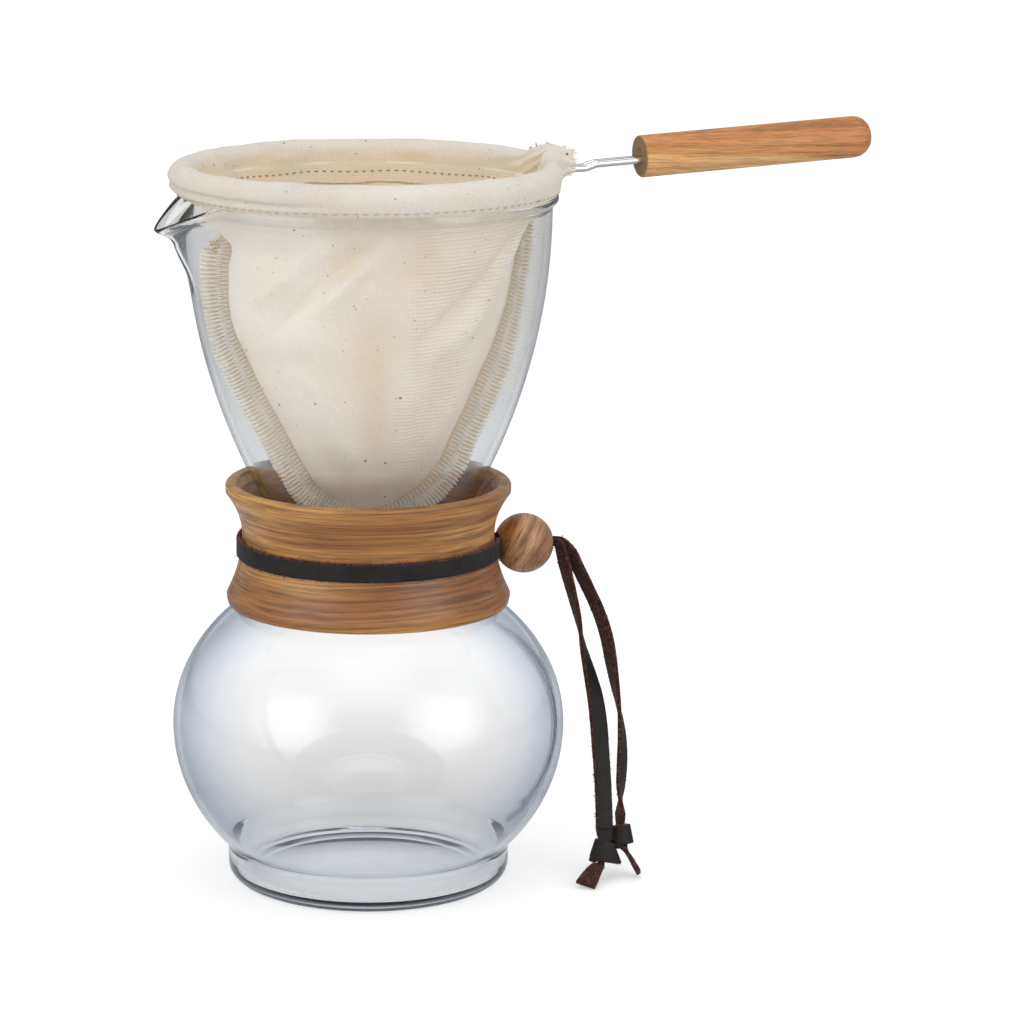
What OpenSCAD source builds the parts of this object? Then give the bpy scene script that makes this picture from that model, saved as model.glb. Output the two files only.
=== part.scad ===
// Cloth filter coffee dripper: a glass pot with a split wooden collar tied by a
// leather thong, and a cloth bag filter on a wire hoop with a wooden handle.
// Millimetres. Origin at the centre of the pot's foot, +Z up, +X to the handle side.

/* [Glass pot] */
// Radius of the foot
foot_r = 39.5; // [38:0.5:42]
// Radius of the foot's rounded bottom edge
foot_edge_r = 4.5; // [3:0.5:5.5]
// Height at which the foot ends and the ball begins
foot_h = 10; // [9:0.5:12]
// Largest radius of the ball
ball_r = 54.7; // [52:0.1:58]
// Height of the ball's widest level
ball_z = 44.5; // [42:0.5:47]
// Vertical half axis of the ball's lower half
ball_low = 49; // [47:0.5:52]
// Vertical half axis of the ball's upper half
ball_high = 45.5; // [44:0.5:48]
// Height of the shoulder, where the ball runs into the neck
shoulder_z = 79; // [77:0.5:81]
// Outer radius of the neck at its waist
neck_r = 26.2; // [25:0.1:28]
// Height of the neck's waist
neck_z = 97; // [95:0.5:99]
// Outer radius of the bowl just below its rim
bowl_r = 50.3; // [49.5:0.1:52]
// Height of the pot to the top of its rim
pot_h = 194.4; // [190:0.1:200]
// Radius of the rolled rim
rim_r = 1.75; // [1.5:0.05:2]
// Thickness of the glass wall
glass_t = 1.8; // [1.4:0.1:2.2]
// Thickness of the glass floor
floor_t = 3; // [2:0.5:4]

/* [Pouring lip] */
// Direction of the pouring lip about the pot's axis, in degrees
spout_az = 195; // [180:1:215]
// Distance that the lip's tip stands out beyond the middle of the rim
spout_out = 8.4; // [7:0.1:10]
// Height that the tip lies below the rim
spout_drop = 8; // [6:0.5:10]
// Angle from the lip's middle to each of its ends, in degrees
spout_half = 21; // [18:1:26]
// Height below the rim at which the lip's throat begins
spout_depth = 27; // [22:1:34]

/* [Wooden collar] */
// Height of the collar
collar_h = 34.5; // [33:0.5:36]
// Outer radius of the collar at both ends
collar_end_r = 39.6; // [38.6:0.1:41]
// Outer radius of the collar at its waist
collar_waist_r = 35.1; // [34.2:0.1:36.2]
// Width of the collar's wall at its mouth
collar_mouth_t = 3.6; // [3:0.1:4.5]
// Height of the collar's waist above its lower end
collar_waist_h = 20; // [17:0.5:22]
// Radius that rounds the collar's edges
collar_edge_r = 1; // [0.6:0.1:1.4]
// Gap between the two halves
collar_gap = 0.6; // [0.4:0.1:1.2]
// Direction of the split about the pot's axis, in degrees
collar_az = 11; // [0:1:20]
// Clearance between the wood and the glass
collar_fit = 0.3; // [0.2:0.05:0.5]

/* [Thong and bead] */
// Width of the leather strap
thong_w = 5.2; // [4.6:0.1:5.6]
// Thickness of the leather strap
thong_t = 1.2; // [1:0.1:1.4]
// Height of the loop's middle above the collar's lower end
thong_rise = 16.4; // [15:0.1:19]
// Radius of the wooden bead
bead_r = 8.4; // [8:0.1:9]
// Radius of the bead's bore
bead_bore_r = 2.8; // [2.6:0.1:3]
// Height of the bead's centre below the loop's middle
bead_drop = 2.1; // [1:0.1:2.4]
// Direction of the bead about the pot's axis, in degrees
bead_az = 13.5; // [12.5:0.5:14.5]
// Radial clearance between the straps and the bead's bore
bead_fit = 0.1; // [0.08:0.01:0.1]
// Clearance between the bead and the loop, along the bead's bore
bead_seat = 0.3; // [0.3:0.05:0.8]
// Radius of a strand's knot
knot_r = 2.9; // [2.6:0.1:3.1]
// Length of a strand's knot
knot_len = 7.6; // [7:0.2:8.4]

/* [Hoop and handle] */
// Radius of the wire
wire_r = 1; // [0.9:0.05:1.1]
// Distance of the hoop's wire outside the middle of the pot's rim
hoop_out = 1; // [0.4:0.1:1.6]
// Height of the hoop's wire above the pot's rim
hoop_rise = 3.4; // [3:0.1:4]
// Inner radius of the bends where the ring turns out into the shank
hoop_bend_r = 3; // [2.4:0.2:4]
// Distance between the two wires of the shank, middle to middle
shank_pitch = 2.3; // [2.2:0.1:2.6]
// Height of the small step in the shank
shank_step = 1; // [0.4:0.1:1.6]
// Length of the shank, from the hoop to the near end of the handle
shank_len = 28.8; // [26:0.2:34]
// Length of the handle
handle_len = 70.5; // [60:0.5:90]
// Radius of the handle
handle_r = 5.9; // [5:0.1:7]
// Radius that rounds the handle's far end
handle_dome_r = 5; // [3:0.5:5]
// Direction of the handle about the pot's axis, in degrees
handle_az = 19; // [10:1:30]
// Upward slope of the handle, in degrees
handle_tilt = 2.6; // [0:0.1:5]
// Depth of the wire bores in the handle
handle_bore_depth = 26; // [15:1:40]
// Radial clearance of the wires in their bores
handle_bore_fit = 0.05; // [0.02:0.01:0.1]
// Radius of the small hole above the wire bores
handle_hole_r = 0.8; // [0.6:0.1:1]
// Depth of the small hole
handle_hole_depth = 5; // [3:1:10]

/* [Cloth filter] */
// Thickness of the bag's cloth
cloth_t = 1; // [0.8:0.1:1.2]
// Radius of the puffed hem that the hoop runs in
hem_r = 3.9; // [3.6:0.1:4.2]
// Distance of the hem's stitched lower edge outside the middle of the rim
hem_foot_out = 0.7; // [0.2:0.1:1.2]
// Clearance between the hem and the pot's rim
hem_fit = 0.3; // [0.2:0.1:0.5]
// Clearance between the wire and the cloth round it
hem_wire_fit = 0.1; // [0.05:0.05:0.2]
// Angle from the handle to each open end of the hem, in degrees
hem_gap_az = 7; // [6.5:0.5:12]
// Clearance between the bag's mouth and the inside of the rim
bag_fit = 0.6; // [0.5:0.1:1.5]
// Depth of the bag below the hem
bag_depth = 87.5; // [80:0.5:90]
// Width of the seam allowance outside the bag
seam_w = 5; // [4:0.5:6]
// Thickness of the seam
seam_t = 2.2; // [1.8:0.1:2.6]
// Clearance between the seam and the glass
seam_clear = 0.9; // [0.6:0.1:1.5]

/* [Hidden] */
$fn = 96;

// Colours
glass_color = [0.80, 0.86, 0.90, 0.45];
collar_color = [0.55, 0.38, 0.20];
bead_color = [0.50, 0.31, 0.19];
handle_color = [0.75, 0.50, 0.28];
leather_color = [0.20, 0.19, 0.18];
steel_color = [0.75, 0.76, 0.77];
cloth_color = [0.93, 0.89, 0.81];
thread_color = [0.96, 0.93, 0.86];

// Spacing of the points along the pot's curves, and of the points on a rounded edge
curve_step = 4;
arc_steps = 5;

// A quarter arc of radius r about [cx, cy] from angle a0 to angle a1
function arc(cx, cy, r, a0, a1, n = arc_steps) =
    [for (i = [0:n]) let (a = a0 + (a1 - a0)*i/n) [cx + r*cos(a), cy + r*sin(a)]];

// Outer outline of the glass. The ball is two half ellipses, and the neck and the
// bowl are power curves that run into each other with the same slope.
bowl_top_z = pot_h - 2*rim_r;
bowl_power = 2.1;
bowl_share = 0.867;
bowl_drop = (bowl_r - neck_r)*bowl_share;
bowl_join_z = neck_z + 12;
bowl_join_r = bowl_r - bowl_drop;
bowl_join_slope = bowl_power*bowl_drop/(bowl_top_z - bowl_join_z);
neck_up_power = bowl_join_slope*(bowl_join_z - neck_z)/(bowl_join_r - neck_r);
shoulder_r = ball_r*sqrt(1 - pow((shoulder_z - ball_z)/ball_high, 2));
shoulder_slope = pow(ball_r/ball_high, 2)*(shoulder_z - ball_z)/shoulder_r;
neck_down_power = shoulder_slope*(neck_z - shoulder_z)/(shoulder_r - neck_r);

function ball_low_at(z) = ball_r*sqrt(1 - pow((ball_z - z)/ball_low, 2));
function ball_high_at(z) = ball_r*sqrt(1 - pow((z - ball_z)/ball_high, 2));
function neck_down_at(z) = neck_r + (shoulder_r - neck_r)
    *pow(max(0, (neck_z - z)/(neck_z - shoulder_z)), neck_down_power);
function neck_up_at(z) = neck_r + (bowl_join_r - neck_r)
    *pow(max(0, (z - neck_z)/(bowl_join_z - neck_z)), neck_up_power);
function bowl_at(z) = bowl_r - bowl_drop
    *pow(max(0, (bowl_top_z - z)/(bowl_top_z - bowl_join_z)), bowl_power);
function glass_at(z) =
    z < foot_h ? foot_r :
    z < ball_z ? max(foot_r, ball_low_at(z)) :
    z < shoulder_z ? ball_high_at(z) :
    z < neck_z ? neck_down_at(z) :
    z < bowl_join_z ? neck_up_at(z) : bowl_at(z);
function glass_slope(z) = (glass_at(z + 0.2) - glass_at(z - 0.2))/0.4;
// The inside follows the outside, one wall thickness away
function glass_in_at(z) = glass_at(z) - glass_t*sqrt(1 + pow(min(1.5, abs(glass_slope(z))), 2));

pot_steps = round((bowl_top_z - foot_h)/curve_step);
pot_levels = [for (i = [0:pot_steps]) foot_h + (bowl_top_z - foot_h)*i/pot_steps];
// The wall is a little thicker where the foot meets the ball
foot_pinch = 0.6;
foot_in_r = foot_r - glass_t - foot_pinch;
foot_in_edge = foot_edge_r - glass_t;
rim_mid_z = pot_h - rim_r;
pot_outside = concat(
    [[0, 0]],
    arc(foot_r - foot_edge_r, foot_edge_r, foot_edge_r, -90, 0),
    [for (z = pot_levels) [glass_at(z), z]],
    [[bowl_r, rim_mid_z], [0, rim_mid_z]]);
pot_inside = concat(
    [[0, floor_t]],
    arc(foot_in_r - foot_in_edge, floor_t + foot_in_edge, foot_in_edge, -90, 0),
    [[foot_in_r, foot_h]],
    [for (i = [1:pot_steps - 1]) [glass_in_at(pot_levels[i]), pot_levels[i]]],
    [[bowl_r - glass_t, bowl_top_z], [bowl_r - glass_t, pot_h + 1], [0, pot_h + 1]]);
// The rolled rim stands a little outside the middle of the wall
rim_mid_r = bowl_r - glass_t/2 + 0.8;

// The pouring lip is a hull of balls at the rim, at the tip and in the throat. A second
// hull, smaller by the wall, hollows it, and a slanted plane trims it to its edges.
tip_r = 2.6;
tip_under = 5;
tip_back = 2.8;
throat_z = pot_h - spout_depth;
spout_reach = rim_mid_r + spout_out;
spout_chord = rim_mid_r*cos(spout_half);
spout_slant = atan(spout_drop/(spout_reach - spout_chord));
module lip_ball(r, az, reach, z) {
    rotate([0, 0, az]) translate([reach, 0, z]) sphere(r, $fn = 20);
}
module lip_shell(r, back) {
    hull() {
        for (side = [-1, 1]) {
            lip_ball(r, side*spout_half, rim_mid_r - tip_r, pot_h - tip_r);
            lip_ball(r, side*spout_half/2, glass_at(throat_z + 4) - tip_r, throat_z + 4);
        }
        lip_ball(r, 0, spout_reach - tip_r, pot_h - spout_drop);
        lip_ball(r, 0, spout_reach - tip_r - tip_back, pot_h - spout_drop - tip_under);
        lip_ball(r, 0, glass_at(throat_z) - tip_r, throat_z);
        lip_ball(r, 0, bowl_r - back, throat_z + 8);
        lip_ball(r, 0, bowl_r - back, pot_h - tip_r);
    }
}
module lip_trim() {
    translate([spout_chord, 0, pot_h]) rotate([0, spout_slant, 0])
        translate([0, -rim_mid_r/2, 0]) cube([rim_mid_r, rim_mid_r, 4*spout_drop]);
}

module glass_pot() {
    color(glass_color) difference() {
        union() {
            rotate_extrude() polygon(pot_outside);
            translate([0, 0, rim_mid_z]) rotate_extrude()
                translate([rim_mid_r, 0]) circle(rim_r, $fn = 32);
            rotate([0, 0, spout_az]) lip_shell(tip_r, 6);
        }
        rotate_extrude() polygon(pot_inside);
        rotate([0, 0, spout_az]) lip_shell(tip_r - glass_t, 9);
        rotate([0, 0, spout_az]) lip_trim();
    }
}

// The collar's outer side sweeps in from both ends to its waist. The inside follows the
// glass, and opens into a dish at the top.
collar_z0 = shoulder_z;
collar_z1 = shoulder_z + collar_h;
collar_waist_z = collar_z0 + collar_waist_h;
collar_hollow = collar_end_r - collar_waist_r;
collar_brim = 2.6;
collar_low = collar_waist_h - collar_brim;
collar_high = collar_h - collar_waist_h - collar_brim;
function collar_at(z) = collar_waist_r
    + collar_hollow*pow((z - collar_waist_z)/(z < collar_waist_z ? collar_low : collar_high), 2);
collar_dish_z0 = neck_z + 1;
collar_dish = collar_end_r - collar_mouth_t - glass_at(collar_z1) - collar_fit;
function collar_in_at(z) = glass_at(z) + collar_fit*sqrt(1 + pow(glass_slope(z), 2))
    + collar_dish*pow(max(0, (z - collar_dish_z0)/(collar_z1 - collar_dish_z0)), 0.8);
collar_in_levels = [for (i = [12:-1:0]) collar_z0 + collar_h*i/12];
collar_out_levels = [for (i = [0:14]) collar_z0 + collar_brim + (collar_low + collar_high)*i/14];
// The lower end is a little narrower than the upper one
collar_foot_in = 0.4;
collar_outline = concat(
    arc(collar_end_r - collar_foot_in - collar_edge_r, collar_z0 + collar_edge_r,
        collar_edge_r, -90, 0),
    [for (z = collar_out_levels) [collar_at(z), z]],
    arc(collar_end_r - collar_edge_r, collar_z1 - collar_edge_r, collar_edge_r, 0, 90),
    arc(collar_end_r - collar_mouth_t + collar_edge_r, collar_z1 - collar_edge_r,
        collar_edge_r, 90, 160),
    [for (z = collar_in_levels) if (z < collar_z1 - 1.6*collar_edge_r) [collar_in_at(z), z]]);

module collar_ring() {
    rotate_extrude() polygon(collar_outline);
}
module collar_half(side) {
    big = 2*collar_end_r;
    color(collar_color) intersection() {
        collar_ring();
        rotate([0, 0, collar_az]) mirror([0, side, 0]) translate([-big, collar_gap/2, 0])
            cube([2*big, big, pot_h]);
    }
}
module collar_front() { collar_half(1); }
module collar_back() { collar_half(0); }

// The loop lies on the collar with both of its edges. Its ends turn into the bead's bore.
loop_fit = 0.05;
thong_z = collar_z0 + thong_rise;
bead_z = thong_z - bead_drop;
function loop_at(z) = collar_at(z) + loop_fit;
loop_z0 = thong_z - thong_w/2;
loop_z1 = thong_z + thong_w/2;
loop_r1 = max(loop_at(loop_z0), loop_at(loop_z1)) + thong_t;
chamfer_r = bead_bore_r + 0.7;
bead_face = sqrt(pow(bead_r, 2) - pow(chamfer_r, 2));
bead_reach = loop_r1 + bead_face + bead_seat;
run_start = loop_at(bead_z) + 0.7*thong_t;
run_end = bead_reach + bead_face + 0.2;
module thong_loop() {
    color(leather_color) union() {
        rotate_extrude() polygon([[loop_at(loop_z0), loop_z0], [loop_at(loop_z0) + thong_t, loop_z0],
            [loop_at(loop_z1) + thong_t, loop_z1], [loop_at(loop_z1), loop_z1]]);
        rotate([0, 0, bead_az]) translate([run_start, 0, bead_z]) rotate([0, 90, 0])
            cylinder(r = bead_bore_r - bead_fit, h = run_end - run_start);
    }
}

module thong_bead() {
    color(bead_color) rotate([0, 0, bead_az]) translate([bead_reach, 0, bead_z])
        rotate([0, 90, 0]) difference() {
            sphere(bead_r);
            translate([0, 0, -bead_r - 1]) cylinder(r = bead_bore_r, h = 2*bead_r + 2);
            for (end = [0, 1]) mirror([0, 0, end]) translate([0, 0, bead_face - 0.7])
                cylinder(r1 = bead_bore_r, r2 = chamfer_r + 2.3, h = 3);
        }
}

// Routes of the hanging strands, from the bead to their knots
strand_a_route = [[52, 11.8, 93.3], [53.4, 12, 92.8], [54.4, 12, 90], [55.4, 11.5, 86],
    [57.2, 11, 79], [59.2, 10.2, 71], [60.7, 9, 63], [62.5, 7.6, 56], [64.1, 5.8, 49],
    [65, 4, 42], [65.5, 2.2, 35], [66, 0.2, 28], [66.3, -1.9, 21], [66.5, -4, 13.4]];
strand_b_route = [[51.6, 13.1, 93.3], [54, 13.7, 92.9], [56.4, 13.8, 90.6], [58.8, 13.4, 86],
    [61.8, 12.9, 80], [65, 12.1, 73], [67.3, 11.2, 66], [68.6, 10.1, 59], [69.8, 8.8, 52],
    [71, 7.3, 45], [71.7, 5.7, 38], [71.7, 4.1, 31], [71.3, 2.5, 24], [71.2, 0.9, 16.8]];
// Where the tips of the cut tails lie
tail_a_tip = [60.6, -16.6, 1.1];
tail_b_tip = [76.4, -5.8, 1.5];
function unit(v) = v/norm(v);
function tangent(p, i) = unit(p[min(len(p) - 1, i + 1)] - p[max(0, i - 1)]);
// Outline of the flat strap's section, with its width along u and its thickness along v
strap_section = [[-0.5, -0.3], [-0.42, -0.5], [0.42, -0.5], [0.5, -0.3],
                 [0.5, 0.3], [0.42, 0.5], [-0.42, 0.5], [-0.5, 0.3]];
// The strap is folded narrow where it leaves the bead, and spreads over four rings
function strap_share(i) = min(1, 0.6 + 0.1*i);
module strap(route) {
    sides = len(strap_section);
    rings = len(route);
    points = [for (i = [0:rings - 1])
        let (t = tangent(route, i), u = unit(cross([0, 1, 0], t)), v = cross(t, u))
        for (s = strap_section) route[i] + u*s[0]*thong_w*strap_share(i) + v*s[1]*thong_t];
    walls = [for (i = [0:rings - 2]) for (j = [0:sides - 1])
        let (k = (j + 1)%sides)
        [i*sides + j, i*sides + k, (i + 1)*sides + k, (i + 1)*sides + j]];
    start = [for (j = [sides - 1:-1:0]) j];
    end = [for (j = [0:sides - 1]) (rings - 1)*sides + j];
    color(leather_color) polyhedron(points, concat([start], walls, [end]));
}
module thong_strand_a() { strap(strand_a_route); }
module thong_strand_b() { strap(strand_b_route); }

// A knot is a short barrel on the end of its strand, with the cut tail below it
module aim(from, dir) {
    translate(from) rotate([0, acos(dir[2]), atan2(dir[1], dir[0])]) children();
}
module knot(route, tip) {
    top = route[len(route) - 1];
    dir = tangent(route, len(route) - 1);
    tail_top = top + dir*(knot_len - knot_r*0.4);
    tail_len = norm(tip - tail_top);
    color(leather_color) union() {
        aim(top, dir) rotate_extrude()
            polygon(concat([[0, 0]], arc(knot_r - 1.2, 1.2, 1.2, -90, 0),
                arc(knot_r - 1.2, knot_len - 1.2, 1.2, 0, 90), [[0, knot_len]]));
        aim(tail_top, (tip - tail_top)/tail_len) translate([-thong_t/2, -thong_w/2, 0])
            cube([thong_t, thong_w, tail_len]);
    }
}
module thong_knot_a() { knot(strand_a_route, tail_a_tip); }
module thong_knot_b() { knot(strand_b_route, tail_b_tip); }

// Everything on the filter is set out along the handle
module filter_frame() {
    rotate([0, 0, handle_az]) children();
}
hoop_z = pot_h + hoop_rise;
hoop_r = rim_mid_r + hoop_out;
handle_start = hoop_r + shank_len;
bend_mid_r = hoop_bend_r + wire_r;
bend_v = shank_pitch/2 + bend_mid_r;
bend_u = sqrt(pow(hoop_r + bend_mid_r, 2) - pow(bend_v, 2));
bend_az = atan2(bend_v, bend_u);
// The wire is drawn a little thin in its bends, which run on into the straight parts
bend_thin = 0.03;
bend_lap = 4;
// The step in the shank: a bend up, a short rise and a bend back to the handle's slope
step_start = bend_u + 8;
step_az = 18;
step_bend_r = 3;
step_rise_len = (shank_step - step_bend_r*(1 + cos(handle_tilt) - 2*cos(step_az)))/sin(step_az);
step_a = [step_start, hoop_z];
step_b = step_a + step_bend_r*[sin(step_az), 1 - cos(step_az)];
step_c = step_b + step_rise_len*[cos(step_az), sin(step_az)];
step_d = step_c + step_bend_r*[sin(step_az) - sin(handle_tilt), cos(handle_tilt) - cos(step_az)];
bore_drop = 0.8;
// Height of the wires at a distance u from the hoop's centre, past the step
function shank_z(u) = step_d[1] + (u - step_d[0])*tan(handle_tilt);
shank_end = handle_start + handle_bore_depth - 1;
module leg_rod(from, az, len) {
    translate(from) rotate([0, 0, az]) rotate([0, 90, 0]) cylinder(r = wire_r, h = len);
}
module wire_bend(centre, bend_r, az, turn) {
    translate(centre) rotate([0, 0, az - bend_lap]) rotate_extrude(angle = turn + 2*bend_lap)
        translate([bend_r, 0]) circle(wire_r - bend_thin, $fn = 32);
}
module leg(v) {
    translate([0, v, 0]) rotate([90, 0, 0]) {
        leg_rod([bend_u, hoop_z], 0, step_start - bend_u);
        wire_bend([step_a[0], step_a[1] + step_bend_r], step_bend_r, -90, step_az);
        leg_rod(step_b, step_az, step_rise_len);
        wire_bend(step_c + step_bend_r*[sin(step_az), -cos(step_az)], step_bend_r,
                  90 + handle_tilt, step_az - handle_tilt);
        leg_rod(step_d, handle_tilt, (shank_end - step_d[0])/cos(handle_tilt));
    }
}
module hoop_wire() {
    color(steel_color) filter_frame() union() {
        translate([0, 0, hoop_z]) rotate([0, 0, bend_az])
            rotate_extrude(angle = 360 - 2*bend_az) translate([hoop_r, 0]) circle(wire_r, $fn = 32);
        for (side = [0, 1]) mirror([0, side, 0]) {
            wire_bend([bend_u, bend_v, hoop_z], bend_mid_r, 180 + bend_az, 90 - bend_az);
            leg(shank_pitch/2);
        }
    }
}

// The handle's axis lies a little above the two wires, and slopes up with them
handle_z = shank_z(handle_start) + bore_drop/cos(handle_tilt);
dome_r = min(handle_dome_r, handle_r - 0.2);
module handle() {
    color(handle_color) filter_frame()
        translate([handle_start, 0, handle_z]) rotate([0, 90 - handle_tilt, 0]) difference() {
            rotate_extrude() polygon(concat([[0, 0]], arc(handle_r - 0.5, 0.5, 0.5, -90, 0),
                arc(handle_r - dome_r, handle_len - dome_r, dome_r, 0, 90),
                [[0, handle_len]]));
            for (v = [-1, 1]) translate([bore_drop, v*shank_pitch/2, -1])
                cylinder(r = wire_r + handle_bore_fit, h = handle_bore_depth + 1);
            translate([-1.6, 0, -1]) cylinder(r = handle_hole_r, h = handle_hole_depth + 1);
        }
}

// The hem is a puffed sleeve round the wire with a stitched foot that sits on the rim
hem_z0 = pot_h + hem_fit;
hem_foot_r = rim_mid_r + hem_foot_out;
bag_mouth_r = bowl_r - glass_t - bag_fit;
hem_mid_z = hoop_z + 0.6;
hem_mid_r = hoop_r - 0.5;
module cloth_hem() {
    color(cloth_color) filter_frame() rotate([0, 0, hem_gap_az])
        rotate_extrude(angle = 360 - 2*hem_gap_az) difference() {
            union() {
                translate([hem_mid_r, hem_mid_z]) circle(hem_r, $fn = 48);
                polygon([[bag_mouth_r - cloth_t, hem_z0], [hem_foot_r, hem_z0],
                         [hem_mid_r + 0.8*hem_r, hem_mid_z - 0.6*hem_r], [hem_mid_r, hem_mid_z],
                         [hem_mid_r - hem_r + 0.2, hem_mid_z]]);
            }
            translate([hoop_r, hoop_z]) circle(wire_r + hem_wire_fit, $fn = 32);
        }
}

// Sections of the bag from its mouth to its bottom: the share of its depth, and the
// shares of its mouth radius across the seams and from front to back
bag_sections = [[0, 1, 1], [0.1, 0.94, 0.96], [0.24, 0.90, 0.9], [0.4, 0.83, 0.8],
                [0.55, 0.72, 0.66], [0.7, 0.58, 0.5], [0.83, 0.43, 0.34], [0.93, 0.27, 0.19],
                [1, 0.11, 0]];
bag_last = len(bag_sections) - 1;
bag_side_steps = 16;
panel_gap = 0.2;
function bag_z(i) = hem_z0 - bag_depth*bag_sections[i][0];
function bag_w(i) = bag_mouth_r*bag_sections[i][1];
function bag_d(i) = bag_mouth_r*bag_sections[i][2];
// One corner grid of points each for the outside and the inside of a panel
function bag_point(i, j, inset, lift) = let (a = 180*j/bag_side_steps)
    [(bag_w(i) - inset)*cos(a), panel_gap/2 + max(0, bag_d(i) - inset)*sin(a), bag_z(i) + lift];
bag_row = bag_side_steps + 1;
bag_grid = bag_row*(bag_last + 1);
function bag_out(i, j) = i*bag_row + j;
function bag_in(i, j) = bag_grid + i*bag_row + j;
bag_points = concat(
    [for (i = [0:bag_last]) for (j = [0:bag_side_steps]) bag_point(i, j, 0, 0)],
    [for (i = [0:bag_last]) for (j = [0:bag_side_steps])
        bag_point(i, j, cloth_t, cloth_t*bag_sections[i][0])]);
bag_m = bag_side_steps;
bag_faces = concat(
    [for (i = [0:bag_last - 1]) for (j = [0:bag_m - 1])
        [bag_out(i + 1, j), bag_out(i + 1, j + 1), bag_out(i, j + 1), bag_out(i, j)]],
    [for (i = [0:bag_last - 1]) for (j = [0:bag_m - 1])
        [bag_in(i, j + 1), bag_in(i + 1, j + 1), bag_in(i + 1, j), bag_in(i, j)]],
    [for (j = [0:bag_m - 1]) [bag_out(0, j + 1), bag_in(0, j + 1), bag_in(0, j), bag_out(0, j)]],
    [for (j = [0:bag_m - 1]) [bag_in(bag_last, j), bag_in(bag_last, j + 1),
        bag_out(bag_last, j + 1), bag_out(bag_last, j)]],
    [for (i = [0:bag_last - 1]) [bag_in(i, 0), bag_in(i + 1, 0), bag_out(i + 1, 0), bag_out(i, 0)]],
    [for (i = [0:bag_last - 1]) [bag_out(i + 1, bag_m), bag_in(i + 1, bag_m),
        bag_in(i, bag_m), bag_out(i, bag_m)]]);
module bag_panel() {
    color(cloth_color) polyhedron(bag_points, bag_faces);
}
module cloth_front() {
    filter_frame() mirror([0, 1, 0]) bag_panel();
}
module cloth_back() {
    filter_frame() bag_panel();
}

// The overlocked seam is a flat strip outside the panels, from the hem down one side,
// under the bag and up the other side
seam_fit = 0.15;
function bag_edge(i) = [bag_w(i) + seam_fit, bag_z(i) - (i == bag_last ? seam_fit : 0)];
function seam_normal(i) = let (d = bag_edge(min(bag_last, i + 1)) - bag_edge(max(0, i - 1)))
    unit([-d[1], d[0]]);
function seam_edge(i) = let (p = bag_edge(i) + seam_w*seam_normal(i))
    [min(p[0], glass_in_at(p[1]) - seam_clear), p[1]];
seam_top = 1;
seam_in = [for (i = [seam_top:bag_last]) bag_edge(i)];
seam_out = [for (i = [seam_top:bag_last]) seam_edge(i)];
function flip(list) = [for (i = [len(list) - 1:-1:0]) [-list[i][0], list[i][1]]];
seam_bottom = [[0, bag_edge(bag_last)[1] - seam_w]];
seam_outline = concat(seam_in, flip(seam_in), [for (p = seam_out) [-p[0], p[1]]], seam_bottom,
    [for (i = [len(seam_out) - 1:-1:0]) seam_out[i]]);
module cloth_seam() {
    color(thread_color) filter_frame() rotate([90, 0, 0]) translate([0, 0, -seam_t/2])
        linear_extrude(seam_t) polygon(seam_outline);
}

glass_pot();
collar_front();
collar_back();
thong_loop();
thong_bead();
thong_strand_a();
thong_strand_b();
thong_knot_a();
thong_knot_b();
hoop_wire();
handle();
cloth_hem();
cloth_front();
cloth_back();
cloth_seam();
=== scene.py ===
import math
import random
from functools import partial

import bmesh
import bpy
import numpy as np
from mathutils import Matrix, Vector, noise


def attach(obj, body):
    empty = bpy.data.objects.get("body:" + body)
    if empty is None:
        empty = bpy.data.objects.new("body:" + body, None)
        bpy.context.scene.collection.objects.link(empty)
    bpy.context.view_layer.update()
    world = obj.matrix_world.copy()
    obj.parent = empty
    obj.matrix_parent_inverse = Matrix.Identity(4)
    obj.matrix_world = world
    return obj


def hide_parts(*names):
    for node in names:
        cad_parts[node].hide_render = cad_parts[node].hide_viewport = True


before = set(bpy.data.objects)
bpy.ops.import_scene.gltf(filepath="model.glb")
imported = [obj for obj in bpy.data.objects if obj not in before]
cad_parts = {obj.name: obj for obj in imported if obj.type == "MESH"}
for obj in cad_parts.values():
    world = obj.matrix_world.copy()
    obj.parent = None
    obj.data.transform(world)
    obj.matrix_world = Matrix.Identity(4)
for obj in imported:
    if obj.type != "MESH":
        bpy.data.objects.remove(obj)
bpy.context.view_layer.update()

# Lengths in this script are in millimetres until a mesh or a cord is made
MM = 0.001
random.seed(7)


# Curves and grids
def smooth_step(t):
    t = np.clip(t, 0, 1)
    return t * t * (3 - 2 * t)


def bell(x, width):
    return np.exp(-((x / width) ** 2))


def spline_at(table, x):
    """A smooth curve through the (x, y) rows of a table, read at x."""
    table = np.array(table, float)
    xs, ys = table[np.argsort(table[:, 0])].T
    slope = np.gradient(ys, xs)
    x = np.clip(np.asarray(x, float), xs[0], xs[-1])
    i = np.clip(np.searchsorted(xs, x) - 1, 0, len(xs) - 2)
    h = xs[i + 1] - xs[i]
    t = (x - xs[i]) / h
    return ((2 * t**3 - 3 * t**2 + 1) * ys[i] + (t**3 - 2 * t**2 + t) * h * slope[i]
            + (3 * t**2 - 2 * t**3) * ys[i + 1] + (t**3 - t**2) * h * slope[i + 1])


def run_length(line):
    """Distance along a line at each of its points."""
    return np.concatenate([[0], np.cumsum(np.linalg.norm(np.diff(line, axis=0), axis=1))])


def resample(points, count):
    """A smooth curve through the points, with count points spread evenly along it."""
    points = np.array(points, float)
    along = run_length(points)
    at = np.linspace(0, along[-1], 8 * count)
    fine = np.stack([spline_at(np.stack([along, points[:, k]], 1), at) for k in range(3)], 1)
    length = run_length(fine)
    even = np.linspace(0, length[-1], count)
    return np.stack([np.interp(even, length, fine[:, k]) for k in range(3)], 1)


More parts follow.
